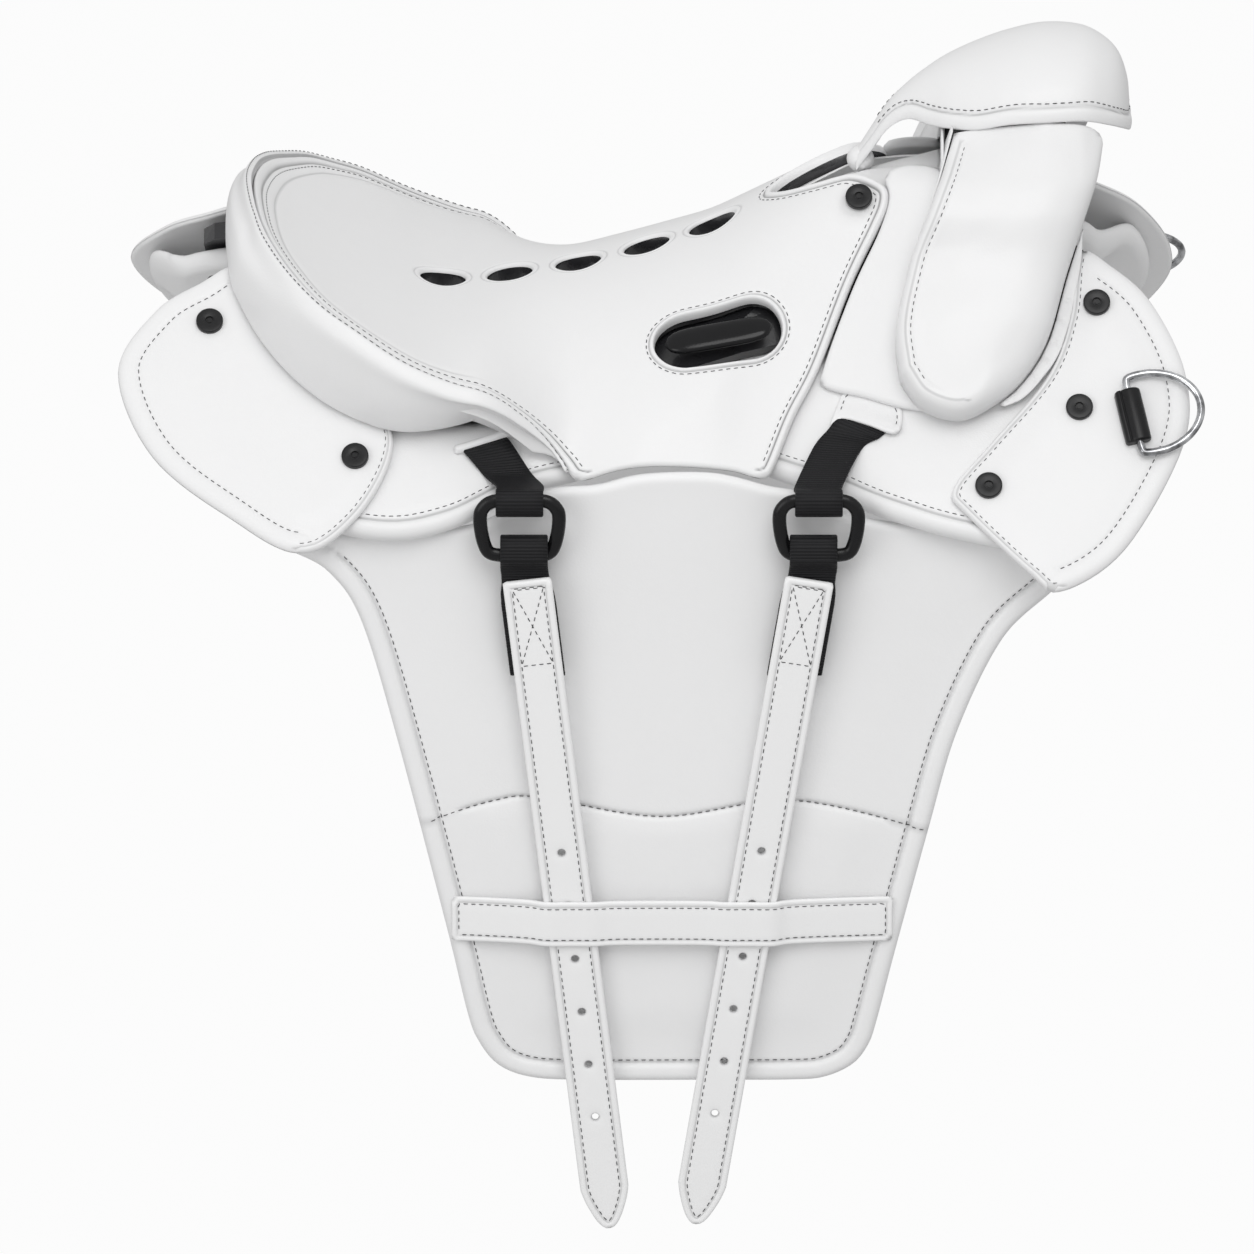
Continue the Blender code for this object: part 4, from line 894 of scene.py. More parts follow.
SKIRT_DEEP = 0.0060
REAR_SKIRT = mm(
    (-236, 62), (-262, 75), (-288, 94), (-309, 134), (-288, 190), (-241, 231), (-200, 250), (-168, 222),
    (-147, 178), (-152, 152), (-190, 140), (-220, 104),
)
FRONT_SKIRT = mm(
    (260, 86), (280, 95), (303, 118), (322, 162), (320, 208), (285, 274), (247, 302), (231, 294),
    (192, 256), (184, 240), (206, 211), (240, 167), (254, 128),
)
COVER_EDGE = tenths(
    (1460, 340), (1478, 500), (1412, 720), (1258, 1050), (1085, 1500), (1090, 1630), (1330, 1770),
    (1600, 1880), (1800, 1860), (1900, 1500), (1870, 1120), (1835, 850), (1820, 500), (1780, 310),
    (1580, 270),
)
SKIRT_RINGS = (2, 6, 12, 20, 28, 34, 40, 50, 65, 85, 105, 115, 123, 131, 142, 160, 190, 230)
ROLLED_END = 6 * 8


def skirt(name, pattern):
    """A skirt from its pattern, rolled from its first point to its seventh."""
    line = curve(pattern)
    loop = even(line, 0.0034, closed=True)
    outer, inner = line[: ROLLED_END + 1], np.vstack([line[ROLLED_END:], line[:1]])

    def skin(p):
        edge, wide, thin = from_edge(p, loop), away(p, outer), away(p, inner)
        full = 0.0011 * ease(wide, 0.014, 0.028) * ease(edge, 0.006, 0.02)
        lift = rounded(edge, 0.0032, SKIRT_DEEP / 2)
        lift += np.where(wide < thin, -0.0014 * (1 - ease(wide, 0, 0.006)), 0)
        lift += groove(wide, 0.0123, 0.0012, 0.0008) + full
        lift += groove(thin, 0.0030, 0.0005, 0.0006) + bead(thin, 0.0028, 0.0004)
        return lift

    def layers(p, edge):
        under = -SKIRT_DEEP - rounded(edge, 0.0026, SKIRT_DEEP / 2)
        # The third layer is painted shade in the groove beside the piped inner edge.
        return skin(p), under, 0.5 * bell(away(p, inner), 0.0030, 0.0004)

    rows = [
        sewn(laid, skin, within(outer, loop, 0.0123)),
        sewn(laid, skin, within(inner, loop, 0.0046), 0.0046, 0.0028, 0.00045),
    ]
    leathers = name + "_leather"
    sheet(leathers, loop, SKIRT_RINGS, 0.0050, laid, layers, [hide, thread], rows, stands_for=name)


skirt("rear_skirt", REAR_SKIRT)
skirt("front_skirt", FRONT_SKIRT)


def cover_layers(p, edge):
    turn = rounded(edge, 0.0036, SKIRT_DEEP / 2)
    return turn + 0.0004 * ease(edge, 0.004, 0.012), -SKIRT_DEEP - turn, 0 * edge


loop = even(curve(COVER_EDGE), 0.0032, closed=True)
rings = (3, 9, 18, 30, 45, 65)
sheet("fork_cover_leather", loop, rings, 0.0045, laid, cover_layers, [hide], stands_for="fork_cover")

# Knee pads: thick cushions on the fork, their rear edge boxed, piped and
# stitched, their front and foot rounded.

SWELL = mm((48, 150), (61, 130), (74, 106))
SWELL_OUT = ((-0.82, 0.57), (-0.86, 0.50), (-0.84, 0.54))
PAD_DOWN = (0.105, 0.145, 0.174, 0.196)
PAD_AT = np.array((0.0, 0.0239, 0.0512, 0.0815, 0.1215, 0.1505, 0.1725))
PAD_STAND = (0.0225, 0.0245, 0.0290, 0.0315, 0.0290, 0.0240, 0.0200)
PAD_UNDER_HEM = tenths(
    (1800, 10), (1840, 20), (2000, 70), (2180, 120), (2400, 165), (2620, 145), (2700, 105), (2760, 60),
    (2820, 30),
)
PAD_TOP = tenths(
    (2715, -45), (2660, -62), (2550, -70), (2350, -68), (2150, -64), (1980, -60),
)
PAD_REAR = tenths(
    (1860, -52), (1780, 240), (1690, 510), (1590, 815), (1510, 1215), (1535, 1500),
)
PAD_FRONT = tenths(
    (1660, 1675), (1880, 1745), (2080, 1650), (2260, 1480), (2410, 1215), (2520, 815), (2620, 510),
    (2705, 240), (2745, 0),
)


def pad_place(p, lift):
    """On the fork above and on the skin below, standing out by lift."""
    x = p[:, 0]
    feet = [np.stack([x, 0 * x - y, 0 * x + z], axis=1) for y, z in SWELL]
    outs = [np.stack([0 * x, 0 * x + y, 0 * x + z], axis=1) for y, z in SWELL_OUT]
    for t in PAD_DOWN:
        foot = form_point(x, np.full(len(x), t), 0)
        feet.append(foot)
        outs.append((form_point(x, np.full(len(x), t), 0.01) - foot) * 100)
    feet, outs = np.array(feet), np.array(outs)
    slopes = np.gradient(feet, PAD_AT, axis=0)
    k = np.clip(np.searchsorted(PAD_AT, p[:, 1]) - 1, 0, 5)
    gap = (PAD_AT[k + 1] - PAD_AT[k])[:, None]
    s = (p[:, 1] - PAD_AT[k])[:, None] / gap
    rows = np.arange(len(x))
    a, b = feet[k, rows], feet[k + 1, rows]
    da, db = slopes[k, rows] * gap, slopes[k + 1, rows] * gap
    base = a * (1 + 2 * s) * (1 - s) ** 2 + da * s * (1 - s) ** 2
    base = base + b * s * s * (3 - 2 * s) + db * s * s * (s - 1)
    out = outs[k, rows] * (1 - s) + outs[k + 1, rows] * s
    return base + unit(out) * np.reshape(lift + 0.0010, (-1, 1))


def pad_curve(front):
    """On from the foot of the rear edge, through points of the front."""
    return curve(np.vstack([PAD_REAR[-1:], front]), closed=False)


rear_line = curve(PAD_REAR, closed=False)
pad_line = np.vstack([rear_line[:-1], pad_curve(PAD_FRONT)])
pad_loop = even(np.vstack([pad_line, PAD_TOP]), 0.0032, closed=True)
pad_back = np.vstack([rear_line, pad_curve(PAD_FRONT[:3])[1:18]])


def pad_skin(p):
    edge, back, top = away(p, pad_line), away(p, pad_back), from_edge(p, pad_loop)
    tucked = np.interp(p[:, 0], *PAD_UNDER_HEM.T)
    grown = np.interp(p[:, 1], PAD_AT, PAD_STAND) - tucked
    stand = tucked + grown * ease(p[:, 1], -0.007, 0.036)
    reach = 0.007 + 0.017 * ease(back, 0.010, 0.050)
    lift = stand + rounded(edge, reach, 1.0) * stand * 0.62 * (0.55 + 0.45 * ease(back, 0.004, 0.03))
    lift += 0.0018 * ease(edge, 0.010, 0.034) * ease(top, 0.002, 0.02) + rounded(top, 0.0022, 0.0016)
    fade = 1 - ease(p[:, 0], 0.162, 0.186) * (p[:, 1] > 0.13)
    lift += fade * (groove(back, 0.0085, 0.0008, 0.0010) + groove(back, 0.0052, 0.0004, 0.0004))
    return lift


FILLING_FRAMES = 20


def tree_of(points):
    tree = KDTree(len(points))
    for k, spot in enumerate(points):
        tree.insert(spot, k)
    tree.balance()
    return tree


def alone(made):
    """Makes a piece the only one selected."""
    bpy.ops.object.select_all(action="DESELECT")
    bpy.context.view_layer.objects.active = made
    made.select_set(True)


def plumped(verts, faces, held, cap, voxel=0.005):
    """The shape after its leather is blown out by the filling, as a cloth held at some points."""
    made = bpy.data.meshes.new("filling_trial")
    made.from_pydata(verts.tolist(), [], [list(f) for f in faces])
    trial = bpy.data.objects.new("filling_trial", made)
    bpy.context.scene.collection.objects.link(trial)
    alone(trial)
    net = trial.modifiers.new("net", "REMESH")
    net.mode, net.voxel_size = "VOXEL", voxel
    bpy.ops.object.modifier_apply(modifier=net.name)
    rest = np.array([v.co for v in trial.data.vertices])
    group = trial.vertex_groups.new(name="held")
    for k, weight in enumerate(held(rest)):
        group.add([k], float(weight), "REPLACE")
    cloth = trial.modifiers.new("filling", "CLOTH")
    cloth.settings.vertex_group_mass = "held"
    cloth.settings.use_pressure = True
    cloth.settings.uniform_pressure_force = 4
    cloth.settings.tension_stiffness = cloth.settings.compression_stiffness = 12
    cloth.settings.bending_stiffness = 0.4
    cloth.settings.mass = 0.25
    cloth.settings.effector_weights.gravity = 0
    for step in range(1, FILLING_FRAMES + 1):
        bpy.context.scene.frame_set(step)
    blown = trial.evaluated_get(bpy.context.evaluated_depsgraph_get()).data
    moved = np.array([v.co for v in blown.vertices]) - rest
    bpy.context.scene.frame_set(1)
    bpy.data.objects.remove(trial)
    far = np.linalg.norm(moved, axis=1)[:, None]
    moved *= cap * np.tanh(far / cap) / np.maximum(far, 1e-9)
    tree = tree_of(rest)
    grown = verts.copy()
    for k, spot in enumerate(verts):
        near = tree.find_n(spot, 8)
        share = np.array([1 / (n[2] + voxel * 0.4) ** 2 for n in near])
        grown[k] += (share[:, None] * moved[[n[1] for n in near]]).sum(axis=0) / share.sum()
    return grown


PAD_RINGS = (2, 6, 12, 20, 30, 42, 50, 56, 65, 76, 85, 94, 106, 125, 150, 180, 220)
flat, faces, rim = cut_out(pad_loop, PAD_RINGS, 0.0045)
foot = np.zeros(len(flat))
verts, whole = stuffed(flat, faces, rim, pad_place, pad_skin(flat), foot)
feet_tree = tree_of(pad_place(flat, foot))
back_line = pad_place(pad_back, pad_skin(pad_back))[::4]
top_line = pad_place(PAD_TOP, pad_skin(PAD_TOP))


def pad_held(spots):
    """Held at its foot, along its piped seam and under the hem."""
    low = np.array([feet_tree.find(spot)[2] for spot in spots])
    gaps = [np.min(np.linalg.norm(spots[:, None] - line, axis=2), axis=1) for line in (back_line, top_line)]
    held = [1 - ease(low, 0.004, 0.012), 1 - ease(gaps[0], 0.008, 0.020), 1 - ease(gaps[1], 0.010, 0.024)]
    return np.maximum.reduce(held)


verts = plumped(verts, whole, pad_held, 0.0035)
# Painted shade in the groove beside the piped rear seam.
painted_shade = 0.5 * bell(away(flat, pad_back), 0.0053, 0.0004)
threads = sewn(pad_place, pad_skin, within(pad_back[:-12], pad_loop, 0.0085))
shapes = [(verts, whole, 0), (*threads, 1)]
dressed("knee_cushion", shapes, [hide, thread], painted_shade, stands_for="knee_pad", fill=0.8)

# Fork linings: a narrow strip of white leather between each knee pad and the
# front skirt, gathered in small pleats where it bends round the fork's foot.

LINING_FRONT = tenths(
    (2620, 560), (2612, 700), (2585, 860), (2540, 1080), (2470, 1300), (2375, 1450), (2270, 1575),
    (2160, 1640),
)
pad_front = curve(PAD_FRONT, closed=False)
pad_front = pad_front[(pad_front[:, 1] > 0.050) & (pad_front[:, 0] > 0.2085)]
lining_line = np.vstack([curve(LINING_FRONT, 6, closed=False), pad_front + (0.0004, 0.0002)])
lining_loop = even(lining_line, 0.0030, closed=True)
PLEATS = (0.30, 0.42, 0.53, 0.64, 0.75, 0.87)


def lining_skin(p):
    round_foot = np.arctan2(p[:, 1] - 0.060, p[:, 0] - 0.140)
    lift = 0.0004 + rounded(from_edge(p, lining_loop), 0.0016, 0.0007)
    for at in PLEATS:
        lift -= 0.0011 * bell(round_foot, at, 0.0085)
    return lift


def lining_layers(p, edge):
    return lining_skin(p), lining_skin(p) - 0.0016, None


def throat_layers(p, edge):
    return 0 * edge - 0.0119, 0 * edge - 0.0131, None


sheet("fork_lining", lining_loop, (4, 10, 18), 0.0013, pad_place, lining_layers, [hide])
THROAT = tenths(
    (900, 142), (1100, 138), (1500, 138), (1795, 138), (1795, 460), (1500, 500), (1200, 480),
    (1000, 400), (880, 280),
)
throat_loop = even(curve(THROAT, 6), 0.003, closed=True)
sheet("throat_lining", throat_loop, (4, 10), 0.004, laid, throat_layers, [hide])


def laid_at(x, t, lift):
    return laid(np.stack([x + 0 * t, t], axis=1), lift)


profile = tenths((-142, 1560), (-380, 1545), (-455, 1490), (-590, 1300), (-715, 1060))
profile = np.vstack([profile, laid_at(0.1797, np.linspace(0.1, 0.0142, 12), -0.0008)[:, 1:]])
rings = [np.column_stack([np.full(len(profile), x), profile]) for x in (0.1786, 0.1800)]
dressed("fork_back_lining", [tube(rings)], [hide])

down = np.linspace(-0.0080, 0.060, 22)
low = laid_at(0.1790, np.linspace(0.030, 0.092, 22), -0.0012)
pad_x = np.interp(down, rear_line[:, 1], rear_line[:, 0]) - 0.0006
high = pad_place(np.stack([pad_x, down], axis=1), 0.0055 + 0.0005 * ease(down, -0.004, 0.02))
rings = []
for a, b in zip(low, high):
    way = (b - a) / np.linalg.norm(b - a)
    back = np.array((-1.0, 0, 0)) + way * way[0]
    back *= 0.0011 / np.linalg.norm(back)
    spread = [a + (b - a) * k + back * 0.9 * math.sin(math.pi * k) for k in np.linspace(0, 1, 7)]
    rings.append(np.array([q + back for q in spread] + spread[::-1]))
dressed("fork_back_leather", [tube(rings)], [hide])

# Pommel cap: a moulded leather hood over the fork. Its tongue runs back to the
# throat, and its hem is rolled and stitched all round.

CAP = tenths(
    (1290, 100, 1300, 1205), (1370, 110, 1430, 1320), (1480, 140, 1600, 1480), (1600, 200, 1720, 1560),
    (1720, 310, 1810, 1560), (1840, 420, 1880, 1570), (2000, 510, 1950, 1590), (2180, 570, 2010, 1640),
    (2400, 590, 2060, 1660), (2620, 560, 2050, 1660), (2760, 470, 1990, 1610), (2850, 350, 1900, 1550),
    (2900, 190, 1760, 1490), (2915, 4, 1620, 1470),
)
HEM_WIDE, HEM_SEAM = 0.0085, 0.0030
CREST = 40
stations = curve(CAP, 7, closed=False)
stations[:, 1] = np.maximum(stations[:, 1], 0.0003)
half_round = np.radians(np.concatenate([np.linspace(0, 60, 13), np.linspace(62, 90, 17)]))
angles = np.concatenate([-half_round[:0:-1], half_round])
x, wide, top, hem = (stations[:, k, None] for k in range(4))
grid = np.stack([x + 0 * angles, -wide * np.sin(angles), hem + (top - hem) * np.cos(angles)], axis=2)
along, across = np.gradient(grid, axis=0), np.gradient(grid, axis=1)
normal = np.cross(along, across)
normal /= np.maximum(np.linalg.norm(normal, axis=2), 1e-9)[..., None]
if normal[CREST, len(angles) // 2, 2] < 0:
    normal = -normal
arc = np.cumsum(np.linalg.norm(np.diff(grid, axis=1), axis=2), axis=1)
arc = np.concatenate([0 * arc[:, :1], arc], axis=1)
from_hem = np.minimum(arc, arc[:, -1:] - arc)
grow = bead(from_hem + 0.0015, HEM_WIDE + 0.0015, 0.0019)
grow += groove(from_hem, HEM_WIDE + 0.0006, 0.0006, 0.0006)
room = np.clip(arc[:, -1:] / 0.05, 0, 1)
outer = grid + normal * (grow * room)[..., None]
rows, sides = outer.shape[:2]
verts = outer.reshape(-1, 3)
starts = [a * sides + k for a in range(rows - 1) for k in range(sides - 1)]
faces = [(n, n + 1, n + sides + 1, n + sides) for n in starts]
middle = CREST * sides + sides // 2
a, b, c = verts[middle], verts[middle + 1], verts[middle + sides]
if np.cross(b - a, c - a)[2] < 0:
    faces = [f[::-1] for f in faces]
# Painted shade in the groove above the rolled hem.
painted_shade = (0.5 * bell(from_hem - HEM_WIDE, 0.0005, 0.0006) * room).ravel()
cap = piece("cap_shell", [(verts, faces, 0)], [hide], painted_shade)
alone(cap)
thick = cap.modifiers.new("wall", "SOLIDIFY")
thick.thickness, thick.offset = 0.0050, -1
bpy.ops.object.modifier_apply(modifier=thick.name)
rows = []
for side in (1, -1):
    line, above = [], []
    for a in range(10, len(stations) - 2):
        k = int(np.argmin(np.abs(from_hem[a] - HEM_WIDE - HEM_SEAM) + (side * angles < 0)))
        line.append(outer[a, k])
        above.append(normal[a, k])
    line, above = np.array(line), np.array(above)
    for k in range(3):
        line[2:-2, k] = np.convolve(line[:, k], np.ones(5) / 5, "valid")
    rows.append((*sewn_between(line + above * 0.0003, above), 0))
stitches = piece("cap_stitching", rows, [thread])
worn(cap, stands_for="pommel_cap")
worn(stitches)

bpy.ops.object.select_all(action="DESELECT")
bpy.ops.mesh.primitive_uv_sphere_add(segments=40, ring_count=24, radius=1)
collar = bpy.context.object
bpy.ops.object.mode_set(mode="EDIT")
bpy.ops.mesh.select_all(action="SELECT")
bpy.ops.transform.resize(value=(0.0082, 0.0106, 0.0076))
bpy.ops.transform.translate(value=(0.1315, 0, 0.1245))
bpy.ops.object.mode_set(mode="OBJECT")
bpy.ops.object.shade_smooth()
collar.name = "tongue_collar"
collar.data.materials.append(hide)
worn(collar)

# Throat neck: a bar wrapped in white leather, from the seat's throat forwards
# into the fork. Its wrap swells a little towards the front.

NECK = tenths(
    (870, 925, 50), (980, 960, 80), (1200, 1030, 100), (1500, 1110, 110), (1800, 1180, 120),
)
rings = []
for x, z, r in curve(NECK, closed=False):
    rings.append([(x, 1.15 * r * math.cos(a), z + r * math.sin(a)) for a in turns(32)])
worn(piece("neck_wrap", [tube(rings)], [hide]), stands_for="throat_neck")

# Screws: low black plastic heads with a turned edge and a small recess round a
# pin, one through the seat's horn and the others through the skirts.

SCREWS = (
    ("seat_screw", *SEAT_SCREW),
    ("rear_skirt_screw_1", -0.255, 0.103),
    ("rear_skirt_screw_2", -0.168, 0.182),
    ("front_skirt_screw_1", 0.270, 0.120),
    ("front_skirt_screw_2", 0.259, 0.187),
    ("front_skirt_screw_3", 0.205, 0.239),
)


def plastic(name, dark, pale, rough, grain):
    """Moulded plastic: satin and faintly mottled."""
    look, tree, shader = new_material(name)
    broad, fine = noise(tree, 120, 4, 0.6), noise(tree, grain, 3)
    values = {
        "Base Color": tint(tree, broad, dark, pale),
        "Roughness": rough + broad * 0.22,
        "Specular IOR Level": 0.30,
        "Normal": bump(tree, fine, 0.20, 0.0002),
    }
    put(tree, shader, values)
    return look


screw_black = plastic("screw_plastic", (0.006, 0.006, 0.0065), (0.018, 0.018, 0.019), 0.20, 1800)


def pick(made, kind, test):
    """In edit mode, selects the faces or edges whose points all pass the test."""
    bpy.ops.mesh.select_mode(type=kind)
    mesh = bmesh.from_edit_mesh(made.data)
    members = mesh.faces if kind == "FACE" else mesh.edges
    for member in members:
        member.select_set(False)
    for member in members:
        if all(test(v.co) for v in member.verts):
            member.select_set(True)
    bmesh.update_edit_mesh(made.data)


HEAD_WIDE, HEAD_HIGH, FACE_LEVEL = 0.0080, 0.0032, 0.0031
TURNED_EDGE, PIN_EDGE = 0.0078, 0.0030
bpy.ops.object.select_all(action="DESELECT")
middle = (0, 0, HEAD_HIGH / 2)
bpy.ops.mesh.primitive_cylinder_add(vertices=40, radius=HEAD_WIDE, depth=HEAD_HIGH, location=middle)
screw = bpy.context.object
screw.data.transform(Matrix.Translation(middle))
screw.location = (0, 0, 0)
bpy.ops.object.mode_set(mode="EDIT")
pick(screw, "FACE", lambda p: p.z > FACE_LEVEL)
for narrower, deeper in ((0.0056, -0.0013), (0.0009, 0.0005)):
    bpy.ops.mesh.inset(thickness=narrower)
    bpy.ops.mesh.extrude_region_move(TRANSFORM_OT_translate={"value": (0, 0, deeper)})
pick(screw, "EDGE", lambda p: p.z > FACE_LEVEL and p.xy.length > TURNED_EDGE)
bpy.ops.mesh.bevel(offset=0.0008, segments=4)
pick(screw, "EDGE", lambda p: p.z > FACE_LEVEL and p.xy.length < PIN_EDGE)
bpy.ops.mesh.bevel(offset=0.0003, segments=2)
bpy.ops.object.mode_set(mode="OBJECT")
bpy.ops.object.shade_smooth_by_angle(angle=math.radians(35))
screw.data.materials.clear()
screw.data.materials.append(screw_black)
for name, x, t in SCREWS:
    along, down, out = axes_at(x, t)
    off = bpy.data.objects.new(f"off_{name}_head", screw.data.copy())
    off.data.transform(frame_at(Vector(spot_on(x, t, 0.0009)), along, out))
    bpy.context.scene.collection.objects.link(off)
    paired(off, f"{name}_head", stands_for=name, slot="screw_plastic")
bpy.data.objects.remove(screw)

# Stirrup bars: glossy black moulded bars over the tree, under which the stirrup
# leather passes.

bar_black = plastic("bar_plastic", (0.003, 0.003, 0.0035), (0.007, 0.007, 0.008), 0.05, 900)
for side in ("off", "near"):
    for slot in nodes[f"{side}_stirrup_bar"].material_slots:
        slot.material = bar_black


def fuller(values):
    """A sine or cosine made fuller, for a rounded box's section."""
    return np.sign(values) * np.abs(values) ** 0.8


rings = []
for u in np.linspace(-1, 1, 25):
    grown = max(1 - abs(u) ** 5, 0.02) ** 0.5
    y = 0.0088 * grown * fuller(np.cos(turns(28)))
    z = -0.0036 + 0.0034 * grown * fuller(np.sin(turns(28)))
    rings.append([slot_frame @ Vector((0.0322 * u, b, c)) for b, c in zip(y, z)])
dressed("stirrup_bar_moulding", [tube(rings)], [bar_black], stands_for="stirrup_bar", slot="black_tree")

# Dee rings: polished wire rings, each held by a black keeper that is wrapped
# round its straight side and riveted to the front skirt.

DEE_PIVOT = np.array((0.290948, -0.148633, 0.013551))
DEE_BAR = np.array((0.207901, -0.643282, -0.736861))
DEE_WAY = np.array((0.978099, 0.129064, 0.163292))
DEE_OUT = np.array((-0.009941, -0.754672, 0.656027))
DEE_WIRE = 0.0023

chrome, tree, shader = new_material("chrome")
scratch, painted_reflection = noise(tree, 1500, 4, 0.7), noise(tree, 90, 3)
# The base colour's high-contrast noise paints dark reflection streaks onto the metal.
values = {
    "Base Color": tint(tree, (painted_reflection - 0.5) * 3.2 + 0.5, (0.10, 0.10, 0.105), (0.74, 0.75, 0.77)),
    "Metallic": 1.0,
    "Roughness": 0.05 + painted_reflection * 0.14,
    "Normal": bump(tree, scratch, 0.06, 0.0001),
}
put(tree, shader, values)
line = [(-0.0205, 0.0), (-0.0070, 0.0), (0.0070, 0.0), (0.0205, 0.0), (0.0243, 0.0022)]
for a in np.radians(np.linspace(-84, 84, 13)):
    line.append((-0.0250 * math.sin(a), 0.0090 + 0.0310 * math.cos(a)))
line = curve(line + [(-0.0243, 0.0022)], 6)


def wire(points, normal, radius, sides=14, flat=1.0):
    """A closed wire through points that lie in one plane."""
    way = unit(np.roll(points, -1, axis=0) - np.roll(points, 1, axis=0))
    turn = turns(sides)[:, None]
    across, up = np.cross(way, normal)[:, None] * np.cos(turn), flat * normal * np.sin(turn)
    verts = (points[:, None] + radius * (across + up)).reshape(-1, 3)
    return verts, outward_faces(verts, tube_faces(len(points), sides, closed=True)), 0


points = DEE_PIVOT + line[:, :1] * DEE_BAR + line[:, 1:] * DEE_WAY
ring = wire(points, DEE_OUT, DEE_WIRE)
dressed("dee_wire", [ring], [chrome], body="dee", stands_for="dee_ring", slot="chrome_ring")

wrap_black = plastic("keeper_wrap", (0.003, 0.003, 0.0035), (0.009, 0.009, 0.010), 0.20, 1200)
WRAP = tenths(
    (-78, -42), (-84, -10), (-76, 18), (-58, 26), (-47, 21), (-36, 32), (0, 42), (42, 34), (68, 6),
    (66, -30), (40, -43), (-30, -44),
)
WRAP_ENDS = ((-165, 0.90), (-160, 0.97), (-150, 1.0), (0, 1.015), (150, 1.0), (160, 0.97), (165, 0.90))
section = curve(WRAP, 4)
rings = []
for u, size in WRAP_ENDS:
    place = DEE_PIVOT + u / 10000 * DEE_BAR + section[:, :1] * size * DEE_WAY
    rings.append(place + section[:, 1:] * size * DEE_OUT)
dressed("keeper_wrap", [tube(rings)], [wrap_black], stands_for="dee_keeper", slot="black_webbing")

# Rigging: a black nylon web leaves a bound slot in the panel, laps the rolled
# edge and loops round a moulded ring, from which the billet's own web hangs.

RIG_Y, RIG_Z, RING_DROP = -0.184, -0.027, 0.034
WEB_THICK, WEB_HALF, WEB_CORNER, LOOP = 0.0026, 0.0140, 0.0007, 0.0057
RIB_PITCH, CORD_PITCH = 0.0019, 0.00090
FORWARD = np.array((1.0, 0, 0))

webbing, tree, shader = new_material("black_webbing")
on_web = node(tree, "ShaderNodeAttribute", {"attribute_name": "weave"}, None, 1)


def ribs(axis, pitch):
    """Waves over the web, along it on axis 0 and across it on axis 1."""
    place = node(tree, "ShaderNodeSeparateXYZ", None, {0: on_web}, axis)
    return place.math("SINE", place * (2 * math.pi / pitch)) * 0.5 + 0.5


rib, cord = ribs(0, RIB_PITCH), ribs(1, CORD_PITCH)
weave, fuzz = rib * 0.75 + rib * cord * 0.35, noise(tree, 2200, 3)
values = {
    "Base Color": tint(tree, weave * 0.7 + fuzz * 0.3, (0.003, 0.003, 0.0035), (0.017, 0.017, 0.019)),
    "Roughness": 0.42 + 0.25 * fuzz,
    "Specular IOR Level": 0.22,
    "Normal": bump(tree, weave + fuzz * 0.2, 0.75, 0.00035),
}
put(tree, shader, values)


def web(name, centres, across, half, **how):
    """A woven band along centres, as wide as half each way, with its place on the weave."""
    across = np.broadcast_to(across, centres.shape)
    out = unit(np.cross(unit(np.gradient(centres, axis=0)), across))
    half = np.broadcast_to(half, len(centres))[:, None, None]
    shape = [(1, -0.4, 0), (1, -1, WEB_CORNER), (0.5, -1, 0), (0, -1, 0)]
    shape += [(-0.5, -1, 0), (-1, -1, WEB_CORNER), (-1, -0.4, 0)]
    shape = np.array(shape + [(-x, -y, r) for x, y, r in shape])[None]
    u = half * shape[..., :1] - np.sign(shape[..., :1]) * shape[..., 2:]
    rings = centres[:, None] + u * across[:, None] + out[:, None] * (WEB_THICK / 2) * shape[..., 1:2]
    run = run_of(centres)
    made = tube(rings)
    weave = np.zeros((len(made[0]), 3), np.float32)
    weave[:-2, 0] = np.repeat(run, shape.shape[1])
    weave[:-2, 1] = u.reshape(-1)
    weave[-2:, 0] = run[0], run[-1]
    off = piece("off_" + name, [made], [webbing])
    rows = off.data.attributes.new("weave", "FLOAT_VECTOR", "POINT")
    rows.data.foreach_set("vector", weave.ravel())
    paired(off, name, slot="black_webbing", **how)


SLOT_LIP = tenths(
    (-1100, 1658), (-1060, 1645), (-930, 1603), (-800, 1561), (-760, 1548),
)
run = curve(SLOT_LIP, 5, closed=False)
grown = np.sqrt(np.clip(1 - np.abs(np.linspace(-1, 1, len(run))) ** 6, 0.02, 1))
rings = []
for spot, side, full in zip(run, left_of(run), grown):
    spots = spot + side * (0.0030 * full * np.cos(turns(14)))[:, None]
    rings.append(laid(spots, -0.0042 - 0.0022 * (1 - full) + 0.0029 * full * np.sin(turns(14))))
dressed("slot_lip", [tube(rings)], [hide])

PATCH = tenths(
    (1120, 1900), (1150, 1800), (1190, 1700), (1260, 1680), (1400, 1745), (1500, 1800), (1545, 1860),
    (1545, 1960), (1500, 2030), (1330, 1945), (1190, 1870),
)
PATCH_SEAM = 0.0034
PATCH_RINGS = (3, 8, 14, 20, 28, 34, 40)
patch_loop = even(curve(PATCH, 6), 0.0026, closed=True)
slot_edge = tenths((1120, 1840), (1330, 1945), (1500, 2030))


def patch_skin(p):
    edge, mouth = from_edge(p, patch_loop), away(p, slot_edge)
    lift = -0.0048 + rounded(edge, 0.0016, 0.0010) + 0.0036 * (1 - ease(mouth, 0.001, 0.013))
    return lift + groove(edge, PATCH_SEAM, 0.0006, 0.0003)


def patch_layers(p, edge):
    return patch_skin(p), patch_skin(p) - 0.0024, None


border = beside(ring_of(patch_loop), PATCH_SEAM)
border = border[away(border, slot_edge) > 0.0045]
start = int(np.argmax(np.linalg.norm(np.roll(border, 1, axis=0) - border, axis=1)))
threads = sewn(laid, patch_skin, np.roll(border, -start, axis=0))
looks = [hide, thread]
sheet("slot_patch", patch_loop, PATCH_RINGS, 0.003, laid, patch_layers, looks, [threads])

